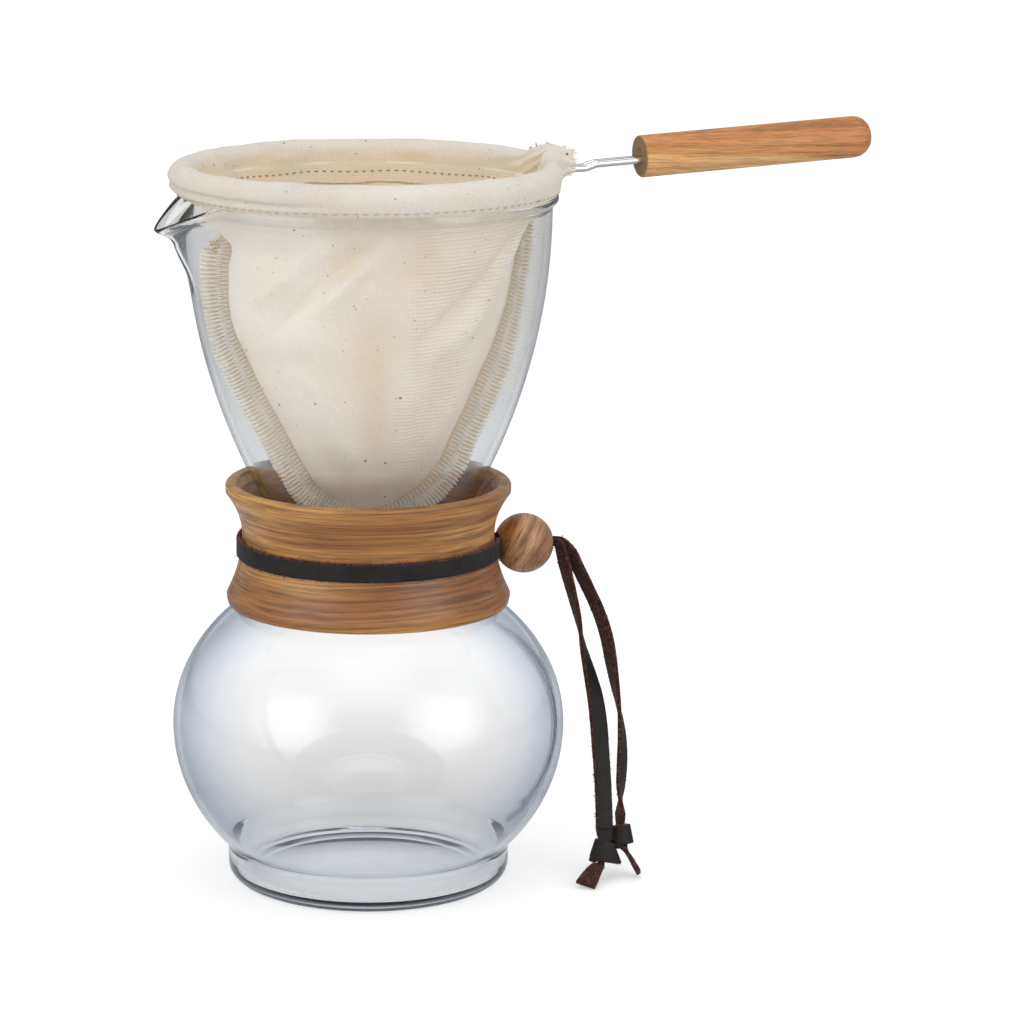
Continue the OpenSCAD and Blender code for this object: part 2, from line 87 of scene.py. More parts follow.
def unit(v):
    v = np.asarray(v, float)
    return v / np.maximum(np.linalg.norm(v, axis=-1, keepdims=True), 1e-9)


def tangents(path):
    return unit(np.gradient(path, axis=0))


def squared(direction, along):
    """A direction turned square to the unit vectors along a path."""
    return unit(direction - along * (direction * along).sum(1)[:, None])


def wobble(points, scale, seed):
    """Smooth noise between about -1 and 1 at each point; scale is the size of its lumps."""
    shift = Vector((seed * 3.1, seed * 7.7, seed * 1.3))
    flat = np.asarray(points, float).reshape(-1, 3) / scale
    values = [noise.noise(Vector(p) + shift) for p in flat]
    return np.array(values).reshape(np.asarray(points).shape[:-1])


def scatter(spread):
    """A random step in any direction."""
    return np.array([random.gauss(0, spread) for _ in range(3)])


def band(first, second, count, wrap):
    """Faces between two rows of points, given the number of each row's first point; with
    wrap the rows are rings."""
    return [(first + k, first + (k + 1) % count, second + (k + 1) % count, second + k)
            for k in range(count if wrap else count - 1)]


def grid_faces(rows, cols, wrap=False, first=0):
    """Faces of a grid of points; with wrap its last column joins its first."""
    starts = range(first, first + (rows - 1) * cols, cols)
    return [face for row in starts for face in band(row, row + cols, cols, wrap)]


def tube_faces(rings, sides):
    """Faces of a tube with both ends shut."""
    last = (rings - 1) * sides
    return grid_faces(rings, sides, True) + [tuple(range(sides)),
                                             tuple(range(last + sides - 1, last - 1, -1))]


def shifted(faces, first):
    """Faces of points that were added after others, whose number is first."""
    return [tuple(first + k for k in face) for face in faces]


def new_object(name, data):
    obj = bpy.data.objects.new(name, data)
    bpy.context.scene.collection.objects.link(obj)
    return obj


def piece(name, points, faces, materials, body, face_slots=None, replaces=()):
    """A mesh object made of points in millimetres, riding on a body."""
    mesh = bpy.data.meshes.new(name)
    mesh.from_pydata([tuple(p) for p in np.asarray(points, float) * MM], [], faces)
    for material in materials:
        mesh.materials.append(material)
    if face_slots is not None:
        mesh.polygons.foreach_set("material_index", np.asarray(face_slots, np.int32))
    work = bmesh.new()
    work.from_mesh(mesh)
    bmesh.ops.recalc_face_normals(work, faces=work.faces)
    work.to_mesh(mesh)
    work.free()
    mesh.polygons.foreach_set("use_smooth", [True] * len(mesh.polygons))
    mesh.update()
    obj = new_object(name, mesh)
    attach(obj, body)
    if replaces:
        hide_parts(*replaces)
    return obj


def threads(name, paths, radius, material, body, sides):
    """One object made of many thin closed tubes."""
    points, faces = [], []
    turns = [2 * math.pi * k / sides for k in range(sides)]
    for path in paths:
        path = np.asarray(path, float)
        t = tangents(path)
        u = unit(np.cross(t, (0.31, 0.17, 0.93)))
        v = np.cross(t, u)
        faces.extend(shifted(tube_faces(len(path), sides), len(points)))
        for i, p in enumerate(path):
            points.extend(p + radius * (math.cos(a) * u[i] + math.sin(a) * v[i])
                          for a in turns)
    return piece(name, points, faces, [material], body)


# Shader nodes
def srgb(code):
    """The linear RGBA of a #rrggbb colour."""
    parts = [int(code[i:i + 2], 16) / 255 for i in (1, 3, 5)]
    return [c / 12.92 if c <= 0.04045 else ((c + 0.055) / 1.055) ** 2.4 for c in parts] + [1]


def rgba(value):
    """A colour given as #rrggbb, as one grey number, or as RGBA."""
    if isinstance(value, str):
        return srgb(value)
    return value if isinstance(value, (list, tuple)) else [value] * 3 + [1]


class Nodes:
    """Short calls that add shader nodes to a node tree."""

    def __init__(self, tree):
        self.tree = tree
        tree.nodes.clear()

    def add(self, kind, inputs=None, **settings):
        node = self.tree.nodes.new("ShaderNode" + kind)
        for key, value in settings.items():
            setattr(node, key, value)
        for key, value in (inputs or {}).items():
            self.put(node.inputs[key], value)
        return node

    def put(self, socket, value):
        """Sets a socket to a value or a #rrggbb colour, or links it to a socket or a node."""
        if isinstance(value, bpy.types.Node):
            value = value.outputs[0]
        if isinstance(value, bpy.types.NodeSocket):
            self.tree.links.new(value, socket)
        else:
            socket.default_value = srgb(value) if isinstance(value, str) else value

    def place(self, scale=(1, 1, 1), rotation=(0, 0, 0), shift=(0, 0, 0)):
        """The point on the object, scaled, turned and shifted."""
        coords = self.add("TexCoord").outputs["Object"]
        return self.add("Mapping", {"Vector": coords, "Location": shift, "Rotation": rotation,
                                    "Scale": scale}).outputs[0]

    def noise(self, vector, scale, detail, rough):
        return self.add("TexNoise", {"Vector": vector, "Scale": scale, "Detail": detail,
                                     "Roughness": rough}).outputs[0]

    def ramp(self, value, stops):
        node = self.add("ValToRGB", {"Fac": value})
        elements = node.color_ramp.elements
        while len(elements) < len(stops):
            elements.new(0.5)
        for element, (place, colour) in zip(elements, stops):
            element.position = place
            element.color = rgba(colour)
        return node.outputs[0]

    def mix(self, share, a, b, blend="MIX"):
        return self.add("Mix", {0: share, 6: a, 7: b}, data_type="RGBA",
                        blend_type=blend).outputs[2]

    def math(self, operation, a, b=0.0):
        return self.add("Math", {0: a, 1: b}, operation=operation)

    def times(self, a, b):
        return self.math("MULTIPLY", a, b)

    def plus(self, a, b):
        return self.math("ADD", a, b)

    def minus(self, a, b):
        return self.math("SUBTRACT", a, b)

    def remap(self, value, low, high, start=0.0, end=1.0, **settings):
        """A number that goes from start to end while the value goes from low to high."""
        return self.add("MapRange", {"Value": value, "From Min": low, "From Max": high,
                                     "To Min": start, "To Max": end}, **settings)

    def attribute(self, name):
        return self.add("Attribute", attribute_name=name).outputs["Fac"]

    def slant(self):
        """How much the surface is seen at a slant."""
        return self.add("LayerWeight", {"Blend": 0.5}).outputs["Facing"]

    def waves(self, vector, scale, distortion, detail, detail_scale, direction):
        return self.add("TexWave", {"Vector": vector, "Scale": scale,
                                    "Distortion": distortion, "Detail": detail,
                                    "Detail Scale": detail_scale},
                        bands_direction=direction).outputs[1]

    def bump(self, height, strength, distance):
        return self.add("Bump", {"Height": height, "Strength": strength,
                                 "Distance": distance})

    def skin(self, colour, rough, normal, more):
        """A Principled surface, with more values for its sockets."""
        shader = self.add("BsdfPrincipled", {"Base Color": colour, "Roughness": rough,
                                             "Normal": normal, **more})
        self.add("OutputMaterial", {"Surface": shader})


def new_material(name):
    material = bpy.data.materials.new(name)
    material.use_nodes = True
    return material, Nodes(material.node_tree)


# Camera
def make_camera():
    """The camera that was fitted to the photograph."""
    data = bpy.data.cameras.new("camera")
    data.lens = 136.174
    data.sensor_width = 36
    data.shift_x = 0.1403
    camera = new_object("camera", data)
    camera.location = (0, -1.05, 0.335)
    camera.rotation_euler = (math.radians(77.615), 0, 0)
    bpy.context.scene.camera = camera


# Leather
def leather_material():
    """The smooth charcoal side of the leather."""
    material, n = new_material("leather_smooth")
    grain = n.noise(n.place(), 1900, 3, 0.55)
    cloud = n.noise(n.place(), 160, 4, 0.6)
    colour = n.ramp(cloud, [(0.3, "#16110e"), (0.7, "#261f1b")])
    rough = n.ramp(grain, [(0.3, 0.46), (0.7, 0.64)])
    n.skin(colour, rough, n.bump(grain, 0.35, 0.0001), {"Specular IOR Level": 0.32})
    return material


def suede_material():
    """Its rough red-brown side and cut edges."""
    material, n = new_material("leather_suede")
    nap = n.noise(n.place(), 1500, 5, 0.7)
    patch = n.noise(n.place(), 420, 4, 0.6)
    dark = n.ramp(patch, [(0.3, "#1f0c08"), (0.7, "#3c1a13")])
    colour = n.mix(n.ramp(nap, [(0.5, 0.0), (0.66, 0.75)]), dark, "#8a5645")
    n.skin(colour, 0.95, n.bump(nap, 0.8, 0.0002),
           {"Sheen Weight": 0.1, "Sheen Roughness": 0.6, "Specular IOR Level": 0.2})
    return material


STRAP_W = 5.2
STRAP_T = 1.2


def strap_section():
    """Outline of the strap: (across, through, material index of the next face)."""
    across = np.linspace(-0.42, 0.42, 8)
    low = [(x, -0.5, 1) for x in across]
    right = [(0.485, -0.38, 1), (0.5, 0.0, 1), (0.485, 0.38, 0)]
    high = [(x, 0.5, 0) for x in across[::-1]]
    high[-1] = (high[-1][0], 0.5, 1)
    left = [(-0.485, 0.38, 1), (-0.5, 0.0, 1), (-0.485, -0.38, 1)]
    return low + right + high + left


def strap_points(path, across, through, width, thick):
    """Points and faces of a flat strap along a path."""
    section = strap_section()
    rings = len(path)
    width, thick = np.broadcast_to(width, rings), np.broadcast_to(thick, rings)
    points = np.array([path[i] + across[i] * x * width[i] + through[i] * y * thick[i]
                       for i in range(rings) for x, y, _ in section])
    points += (0.05 * wobble(points, 1.6, 2)[:, None]) * np.repeat(through, len(section), 0)
    slots = [slot for _, _, slot in section] * (rings - 1) + [1, 1]
    return points, tube_faces(rings, len(section)), slots


def strap(name, path, across, through, width, materials, body, node):
    points, faces, slots = strap_points(path, across, through, width, STRAP_T)
    return piece(name, points, faces, materials, body, slots, (node,))


def fringe(name, path, across, through, width, count, material, body, longest=0.3):
    """Short fibres of suede that stand out along the cut edges of a strap."""
    fibres = []
    for _ in range(count):
        i = random.randrange(2, len(path) - 2)
        side = random.choice((-1, 1))
        start = (path[i] + across[i] * side * 0.47 * width + through[i] * random.uniform(-0.5, 0.3)
                 + (path[i + 1] - path[i]) * random.random())
        long = random.uniform(0.3, 1.0) * longest
        bend = scatter(0.55)
        tip = across[i] * side * long + bend * long
        fibres.append([start, start + tip * 0.55, start + tip + bend * 0.12])
    threads(name, fibres, 0.075, material, body, 4)


# Routes of the two hanging strands, from the bead down
STRAND_A = [(52, 11.8, 93.3), (53.4, 12, 92.8), (54.4, 12, 90), (55.4, 11.5, 86),
            (57.2, 11, 79), (59.2, 10.2, 71), (60.7, 9, 63), (62.5, 7.6, 56),
            (64.1, 5.8, 49), (65, 4, 42), (65.5, 2.2, 35), (66, 0.2, 28), (66.3, -1.9, 21),
            (66.5, -4, 13.4)]
STRAND_B = [(51.6, 13.1, 93.3), (54, 13.7, 92.9), (56.4, 13.8, 90.6), (58.8, 13.4, 86),
            (61.8, 12.9, 80), (65, 12.1, 73), (67.3, 11.2, 66), (68.6, 10.1, 59),
            (69.8, 8.8, 52), (71, 7.3, 45), (71.7, 5.7, 38), (71.7, 4.1, 31),
            (71.3, 2.5, 24), (71.2, 0.9, 16.8)]
# Twist of each strand in degrees, by height
TWIST_A = [(5, 158), (13.4, 160), (28, 158), (42, 152), (49, 140), (56, 122), (62, 105),
           (68, 88), (72, 76), (79, 64), (86, 56), (94, 40)]
TWIST_B = [(10, 60), (16.8, 66), (20, 88), (24, 112), (31, 122), (38, 112), (45, 92),
           (52, 73), (59, 60), (66, 54), (80, 50), (86, 48), (94, 35)]


def strand(name, route, twist, materials, node):
    """A hanging strand, its path, and the direction across it at its end."""
    path = resample(route, 90)
    t = tangents(path)
    u = unit(np.cross([0, 1, 0], t))
    v = np.cross(t, u)
    turn = np.radians(spline_at(twist, path[:, 2]))[:, None]
    across = np.cos(turn) * u + np.sin(turn) * v
    through = np.cos(turn) * v - np.sin(turn) * u
    share = np.linspace(0, 1, len(path))
    # Narrow where it comes out of the bead
    width = STRAP_W * (0.62 + 0.38 * smooth_step(share / 0.12)) * (1 - 0.05 * np.sin(9 * share))
    obj = strap(name, path, across, through, width, materials, "bead", node)
    fringe(name + "_fringe", path, across, through, STRAP_W, 420, materials[1], "bead")
    return obj, path, across[-1]


# How far a knot's strap winds round, in degrees, and how far below the strand's end its
# middle and the inner end of its tail lie
KNOT_TURN, KNOT_MIDDLE, KNOT_INNER = 430, 5.4, 7.6


def knot_wrap(top, axis, side, lean, flare, turn0):
    """The strap's path round its own end, with the directions across and through it."""
    turns = np.radians(np.linspace(turn0, turn0 + KNOT_TURN, 84))
    share = np.linspace(0, 1, len(turns))
    front = np.cross(side, axis)
    out = unit(np.outer(np.cos(turns), side) + 0.8 * np.outer(np.sin(turns), front))
    squash = 1 - 0.22 * np.abs(np.sin(turns))
    radius = (2.25 + flare * 2.4 + 0.3 * share) * squash
    centre = top + np.outer(KNOT_MIDDLE + 1.3 * share + lean * 2.4 * np.cos(turns), axis)
    path = centre + out * radius[:, None]
    t = tangents(path)
    across = squared(unit(axis + out * flare), t)
    through = np.cross(across, t)
    return path, across, through * np.sign((through * out).sum(1))[:, None]


def knot_tail(route, end, facing):
    """The strap's path down through the knot to its cut end, with its directions."""
    path = resample(route, 30)
    t = tangents(path)
    blend = smooth_step(np.linspace(0, 1, len(path)))[:, None]
    across = squared(unit(end * (1 - blend) + unit(np.cross(t, facing)) * blend), t)
    return path, across, np.cross(t, across)


def knot(name, path, end, tip, materials, node, lean, flare, turn0, tail_facing):
    """An overhand knot: the strap wound round its own end in a skirt, and a flared cut tail.
    end is the direction across the strand at its end, and tip is the end of the tail."""
    top, axis = path[-1], unit(path[-1] - path[-4])
    side = unit(np.cross(axis, [0, 1, 0]))
    wrap = knot_wrap(top, axis, side, lean, flare, turn0)
    points, faces, slots = strap_points(*wrap, STRAP_W * 1.08, STRAP_T * 0.9)
    inner_end = top + axis * KNOT_INNER + side * (-3.2 if lean > 0 else 1.0) * abs(lean)
    tail = knot_tail([top - axis * 0.5, top + axis * 3, inner_end,
                      inner_end * 0.45 + np.array(tip) * 0.55, tip], end, tail_facing)
    along = np.linspace(0, 1, len(tail[0]))
    widths = STRAP_W * (0.62 + 0.34 * smooth_step(1 - along / 0.25)
                        + 0.5 * smooth_step(1.6 * along - 0.6))
    more, more_faces, more_slots = strap_points(*tail, widths, STRAP_T)
    tied = piece(name, np.concatenate([points, more]), faces + shifted(more_faces, len(points)),
                 materials, "bead", slots + more_slots, (node,))
    fringe(name + "_fringe", *wrap, STRAP_W * 1.08, 110, materials[2], "bead", 0.22)
    fringe(name + "_tail_fringe", *tail, STRAP_W * 0.9, 60, materials[1], "bead", 0.18)
    return tied


def make_cords():
    materials = [leather_material(), suede_material(), thread_material(
        "leather_edge", "#5a2f26", "#a4685a")]
    a, path_a, end_a = strand("strap_a", STRAND_A, TWIST_A, materials, "thong_strand_a")
    b, path_b, end_b = strand("strap_b", STRAND_B, TWIST_B, materials, "thong_strand_b")
    knot_a = knot("knot_a", path_a, end_a, (60.6, -16.2, 1.4), materials, "thong_knot_a",
                  lean=0.3, flare=0.36, turn0=160, tail_facing=(0, -0.45, 0.9))
    knot_b = knot("knot_b", path_b, end_b, (76.2, -5.6, 1.7), materials, "thong_knot_b",
                  lean=-0.2, flare=0.2, turn0=200, tail_facing=(0.95, 0.1, 0.3))
    return materials


# Glass pot
FOOT_R, FOOT_EDGE = 39.5, 4.5
BALL_R, BALL_Z, BALL_LOW, BALL_HIGH = 54.7, 44.5, 49, 45.5
SHOULDER_Z, NECK_R, NECK_Z = 79, 26.2, 97
BOWL_R, POT_H, RIM_R, WALL, FLOOR = 50.3, 194.4, 1.75, 1.8, 3
BOWL_TOP = POT_H - 2 * RIM_R
NECK_BLEND, BOWL_CURVE = 12, 2.1
BOWL_JOIN = NECK_Z + NECK_BLEND
BOWL_DROP = (BOWL_R - NECK_R) * 0.867
BOWL_JOIN_R = BOWL_R - BOWL_DROP
NECK_UP = (BOWL_CURVE * BOWL_DROP / (BOWL_TOP - BOWL_JOIN)
           * NECK_BLEND / (BOWL_JOIN_R - NECK_R))
SHOULDER_R = BALL_R * math.sqrt(1 - ((SHOULDER_Z - BALL_Z) / BALL_HIGH) ** 2)
NECK_DOWN = ((BALL_R / BALL_HIGH) ** 2 * (SHOULDER_Z - BALL_Z) / SHOULDER_R
             * (NECK_Z - SHOULDER_Z) / (SHOULDER_R - NECK_R))
RIM_MID_R = BOWL_R - WALL / 2 + 0.8
RIM_MID_Z = POT_H - RIM_R


def glass_r(z):
    """Outer radius of the pot at height z."""
    if z < BALL_Z:
        ball = BALL_R * math.sqrt(max(0, 1 - ((BALL_Z - z) / BALL_LOW) ** 2))
        gap = FOOT_R - ball
        return (FOOT_R + ball + math.sqrt(gap * gap + 0.5)) / 2
    if z < SHOULDER_Z:
        return BALL_R * math.sqrt(1 - ((z - BALL_Z) / BALL_HIGH) ** 2)
    if z < NECK_Z:
        share = (NECK_Z - z) / (NECK_Z - SHOULDER_Z)
        return NECK_R + (SHOULDER_R - NECK_R) * share ** NECK_DOWN
    if z < BOWL_JOIN:
        return NECK_R + (BOWL_JOIN_R - NECK_R) * ((z - NECK_Z) / NECK_BLEND) ** NECK_UP
    share = max(0, BOWL_TOP - z) / (BOWL_TOP - BOWL_JOIN)
    return BOWL_R - BOWL_DROP * share ** BOWL_CURVE


def glass_slope(z):
    return (glass_r(z + 0.2) - glass_r(z - 0.2)) / 0.4


def glass_in(z):
    """Inner radius of the pot at height z."""
    return glass_r(z) - WALL * math.sqrt(1 + min(1.5, abs(glass_slope(z))) ** 2)


def arc(cx, cz, r, a0, a1, steps):
    angles = np.radians(np.linspace(a0, a1, steps))
    return [(cx + r * math.cos(a), cz + r * math.sin(a)) for a in angles]


def pot_profile():
    """Outline of the wall from the middle of the underside over the rim to the floor."""
    under = [(0, 1.4), (10, 1.35), (20, 1.1), (27, 0.65), (31.5, 0.2), (34, 0.02)]
    foot = arc(FOOT_R - FOOT_EDGE, FOOT_EDGE, FOOT_EDGE, -90, 0, 14)
    levels = np.concatenate([np.linspace(5, 9, 6), np.linspace(9.4, 14, 16),
                             np.linspace(14.8, 190.2, 190)])
    outside = [(glass_r(z), z) for z in levels]
    rim = arc(RIM_MID_R, RIM_MID_Z, RIM_R, -62, 178, 26)
    inner_levels = np.concatenate([np.linspace(191.2, 14.8, 190), np.linspace(14, 11, 8)])
    inside = [(min(glass_in(z), RIM_MID_R - RIM_R if z > 150 else BALL_R), z)
              for z in inner_levels]
    foot_in = FOOT_R - WALL - 0.6
    edge = FOOT_EDGE - WALL
    well = [(foot_in, 10), (foot_in, 8.5)] + arc(foot_in - edge, FLOOR + edge, edge, 0, -90, 10)
    floor = [(28, FLOOR), (18, FLOOR), (8, FLOOR), (0, FLOOR)]
    return under + foot + outside + rim + inside + well + floor


SPOUT_DEG = 195


def lip(points):
    """Draws the wall out into the pouring lip, where it also gets thinner."""
    x, y, z = points.T
    r = np.hypot(x, y)
    a = np.arctan2(y, x) - math.radians(SPOUT_DEG)
    a = np.degrees((a + math.pi) % (2 * math.pi) - math.pi)
    soft = np.sqrt(a * a + 2.4**2) - 2.4
    narrow = np.clip(1 - soft / 24, 0, 1)
    wide = np.clip(1 - soft / 30, 0, 1)
    thin = 0.42 * narrow**0.8 * smooth_step((z - 176) / 14)
    wall_r = BOWL_R - WALL / 2
    middle = wall_r + (RIM_MID_R - wall_r) * smooth_step((z - 188) / 4)
    slim_r = r + (middle - r) * thin * (r > 1)
    slim_z = z + (RIM_MID_Z - z) * thin * smooth_step((z - 189.5) / 1.6)
    down = POT_H - slim_z
    curl = 4.2 * bell(down, 2.6) * narrow**1.5
    body = 5.2 * (1 - smooth_step(down / 36)) ** 2.2 * (
        narrow**1.6 * np.exp(-down / 12) + wide**2 * (1 - np.exp(-down / 12)))
    sink = 8 * narrow**1.25 * (1 - smooth_step(down / 30))
    far = slim_r + (curl + body) * (r > 1)
    scale = far / np.maximum(r, 1e-6)
    return np.stack([x * scale, y * scale, slim_z - sink], 1)


def glass_material():
    """Clear glass that lets lamps through, with painted shade that turns it grey where it is seen
    at a slant.
    """
    material, n = new_material("glass_clear")
    ripple = n.noise(n.place(scale=(1, 1, 1.6)), 24, 2, 0.4)
    # Painted shade and reflection: darker at a slant, bluish on the ball and neutral on the bowl
    slant_shade_ball = n.ramp(n.slant(), [(0.28, 1.0), (0.5, (0.77, 0.81, 0.875, 1)),
                              (0.66, (0.59, 0.65, 0.73, 1)), (1.0, (0.34, 0.405, 0.5, 1))])
    slant_shade_bowl = n.ramp(n.slant(), [(0.5, 1.0), (0.7, (0.965, 0.96, 0.945, 1)),
                               (1.0, (0.77, 0.755, 0.72, 1))])
    height = n.add("SeparateXYZ", {0: n.place()}).outputs[2]
    tint = n.mix(n.remap(height, 0.095, 0.13), slant_shade_ball, slant_shade_bowl)
    # Near the floor the painted shade gives way to a nearly clear tint
    tint = n.mix(n.remap(height, 0.004, 0.012, 1.0, 0.0), tint, (0.97, 0.98, 0.99, 1))
    clear = n.add("BsdfPrincipled", {"Base Color": tint, "Roughness": 0.0, "IOR": 1.47,
                                     "Transmission Weight": 1.0,
                                     "Normal": n.bump(ripple, 0.14, 0.0006)})
    open_shade = n.add("BsdfTransparent", {"Color": (0.99, 0.992, 0.994, 1)})
    shadow = n.add("LightPath").outputs["Is Shadow Ray"]
    n.add("OutputMaterial", {
        "Surface": n.add("MixShader", {0: shadow, 1: clear, 2: open_shade}),
        "Volume": n.add("VolumeAbsorption", {"Color": (0.62, 0.66, 0.7, 1), "Density": 28})})
    return material


def make_pot():
    """The wall turned round in steps, with a point in the middle of its bottom on each side."""
    profile = pot_profile()
    steps = 288
    ring = profile[1:-1]
    angles = np.linspace(0, 2 * math.pi, steps, endpoint=False)
    points = [(0, 0, profile[0][1]), (0, 0, profile[-1][1])]
    for r, z in ring:
        points.extend((r * math.cos(a), r * math.sin(a), z) for a in angles)
    points = lip(np.array(points, float))
    faces = grid_faces(len(ring), steps, True, first=2)
    for middle, first in ((0, 2), (1, len(points) - steps)):
        faces += [(middle, first + k, first + (k + 1) % steps) for k in range(steps)]
    piece("pot_glass", points, faces, [glass_material()], "pot",
          replaces=("glass_pot",))


# Wood
def wood_material(name, axis, palette, long=1.0, seed=0.0, round_share=1.0, gloss=0.42,
                  coat=0.1, end=None):
    """Wood whose grain runs along an axis, given as (turn about Z, tilt) in radians. The
    palette is dark, mid, light and ruddy; long stretches the streaks, round_share says how
    fast they change across the grain on the level, and end colours the near cut end."""
    material, n = new_material(name)
    turned = n.place(rotation=(0, axis[1], -axis[0]), shift=(seed, seed * 0.7, seed * 1.9))

    def along(place, lengthwise, across, up, detail, rough=0.55):
        scale = (lengthwise / long, across * round_share, up)
        return n.noise(n.add("Mapping", {"Vector": place, "Scale": scale}), 1, detail, rough)

    sway = n.times(n.minus(along(turned, 9, 20, 16, 2), 0.5), 0.008)
    bent = n.add("VectorMath", {0: turned, 1: n.add("CombineXYZ", {"Y": sway, "Z": sway})},
                 operation="ADD")
    bands, rings, lines, fine = [along(bent, *row) for row in (
        (5, 60, 120, 3), (3, 180, 460, 4, 0.62), (6, 500, 1500, 2, 0.5),
        (130, 1200, 2600, 3, 0.65))]
    patches = along(turned, 9, 40, 60, 2, 0.5)
    dark, mid, light, ruddy = palette
    colour = n.ramp(bands, [(0.27, dark), (0.41, mid), (0.5, light), (0.6, mid),
                            (0.7, ruddy)])
    for value, stops, tone in ((patches, [(0.47, 0.0), (0.62, 0.75)], ruddy),
                               (rings, [(0.34, 0.6), (0.49, 0.0)], dark),
                               (lines, [(0.38, 0.46), (0.49, 0.0)], dark)):
        colour = n.mix(n.ramp(value, stops), colour, tone)
    colour = n.mix(0.8, colour, n.ramp(fine, [(0.36, 0.55), (0.54, 1.0)]), "MULTIPLY")
    if end:
        back = (-math.cos(axis[0]), -math.sin(axis[0]), 0)
        facing = n.add("VectorMath", {0: n.add("NewGeometry").outputs["Normal"], 1: back},
                       operation="DOT_PRODUCT").outputs["Value"]
        colour = n.mix(n.ramp(facing, [(0.86, 0.0), (0.93, 0.9)]), colour, end)
    rough = n.ramp(fine, [(0.3, gloss + 0.14), (0.7, gloss)])
    n.skin(colour, rough, n.bump(n.plus(fine, lines), 0.25, 0.0001),
           {"Coat Weight": coat, "Coat Roughness": 0.25})
    return material


COLLAR_Z0, COLLAR_H, COLLAR_END, COLLAR_WAIST, MOUTH_T = 79, 34.5, 39.6, 35.1, 3.6
COLLAR_Z1 = COLLAR_Z0 + COLLAR_H
COLLAR_AZ = math.radians(11)
WAIST_Z = COLLAR_Z0 + 20
# Gaps: collar to glass, half of the slit between the halves, and strap to collar
COLLAR_SEAT, HALF_SLIT, LOOP_GAP = 0.3, 0.3, 0.2


def collar_out(z):
    """Outer radius of the collar, least at its waist."""
    reach = 17.4 if z < WAIST_Z else 11.9
    share = min(1.0, abs(z - WAIST_Z) / reach)
    narrower = 0.4 * max(0, min(1, (COLLAR_Z0 + 3 - z) / 2.4))
    return COLLAR_WAIST + 4.5 * share**2 - narrower


def collar_in(z):
    """Inner radius of the collar: close to the glass, and dished towards its mouth."""
    dish = COLLAR_END - MOUTH_T - glass_r(COLLAR_Z1) - COLLAR_SEAT
    share = max(0, (z - NECK_Z - 1) / (COLLAR_Z1 - NECK_Z - 1))
    return glass_r(z) + COLLAR_SEAT * math.hypot(1, glass_slope(z)) + dish * share**0.8


def collar_section():
    """Outer and inner outline of the collar's wall, with as many points each."""
    edge = 1.1
    outer = arc(COLLAR_END - 0.4 - edge, COLLAR_Z0 + edge, edge, -90, 0, 7)
    outer += [(collar_out(z), z) for z in np.linspace(COLLAR_Z0 + 2.0, COLLAR_Z1 - 2.0, 44)]
    outer += arc(COLLAR_END - edge, COLLAR_Z1 - edge, edge, 0, 90, 8)
    mouth = COLLAR_END - MOUTH_T
    inner = [(collar_in(z), z) for z in np.linspace(COLLAR_Z0 + 0.35, COLLAR_Z1 - 1.6, 51)]
    inner[0] = (inner[0][0] + 0.15, COLLAR_Z0 + 0.05)
    inner += arc(mouth + edge, COLLAR_Z1 - edge, edge, 165, 90, 8)
    return np.array(outer), np.array(inner)


def collar_half(name, side, material, node):
    """Half of the collar, with bevelled cut faces; side is -1 for the front, 1 for the back."""
    outer, inner = collar_section()
    loop = np.concatenate([outer, inner[::-1]])
    centre = (outer + inner) / 2
    centre_loop = np.concatenate([centre, centre[::-1]])
    shares = np.concatenate([[0, 0.001, 0.003], np.linspace(0.012, 0.988, 120),
                             [0.997, 0.999, 1]])
    bevel = {0: 0.5, 1: 0.18, len(shares) - 1: 0.5, len(shares) - 2: 0.18}
    points = []
    for i, share in enumerate(shares):
        pulled = loop + unit(centre_loop - loop) * bevel.get(i, 0)
        start = np.arcsin(HALF_SLIT / pulled[:, 0])
        angle = COLLAR_AZ + side * (start + share * (math.pi - 2 * start))
        points.append(np.stack([pulled[:, 0] * np.cos(angle), pulled[:, 0] * np.sin(angle),
                                pulled[:, 1]], 1))
    points = np.concatenate(points)
    points[:, :2] *= (1 + 0.0012 * wobble(points, 14, 5))[:, None]
    count = len(loop)
    faces = grid_faces(len(shares), count, True)
    for first in (0, len(points) - count):
        last = first + count - 1
        faces += [(first + k, first + k + 1, last - k - 1, last - k)
                  for k in range(len(outer) - 1)]
    piece(name, points, faces, [material], "pot", replaces=(node,))


def make_collar():
    wood = wood_material("wood_collar", (COLLAR_AZ * 0.3, 0.012),
                         ("#54300f", "#b07631", "#dfa553", "#935628"), long=1.3, seed=0.03,
                         round_share=0.1, gloss=0.36, coat=0.4)
    collar_half("collar_wood_front", -1, wood, "collar_front")
    collar_half("collar_wood_back", 1, wood, "collar_back")


# Loop of the thong, with its two ends turned out into the bead
BEAD_AZ = math.radians(13.5)
BEAD_Z = 93.3
LOOP_Z = 95.4
RUN_END = 52.4


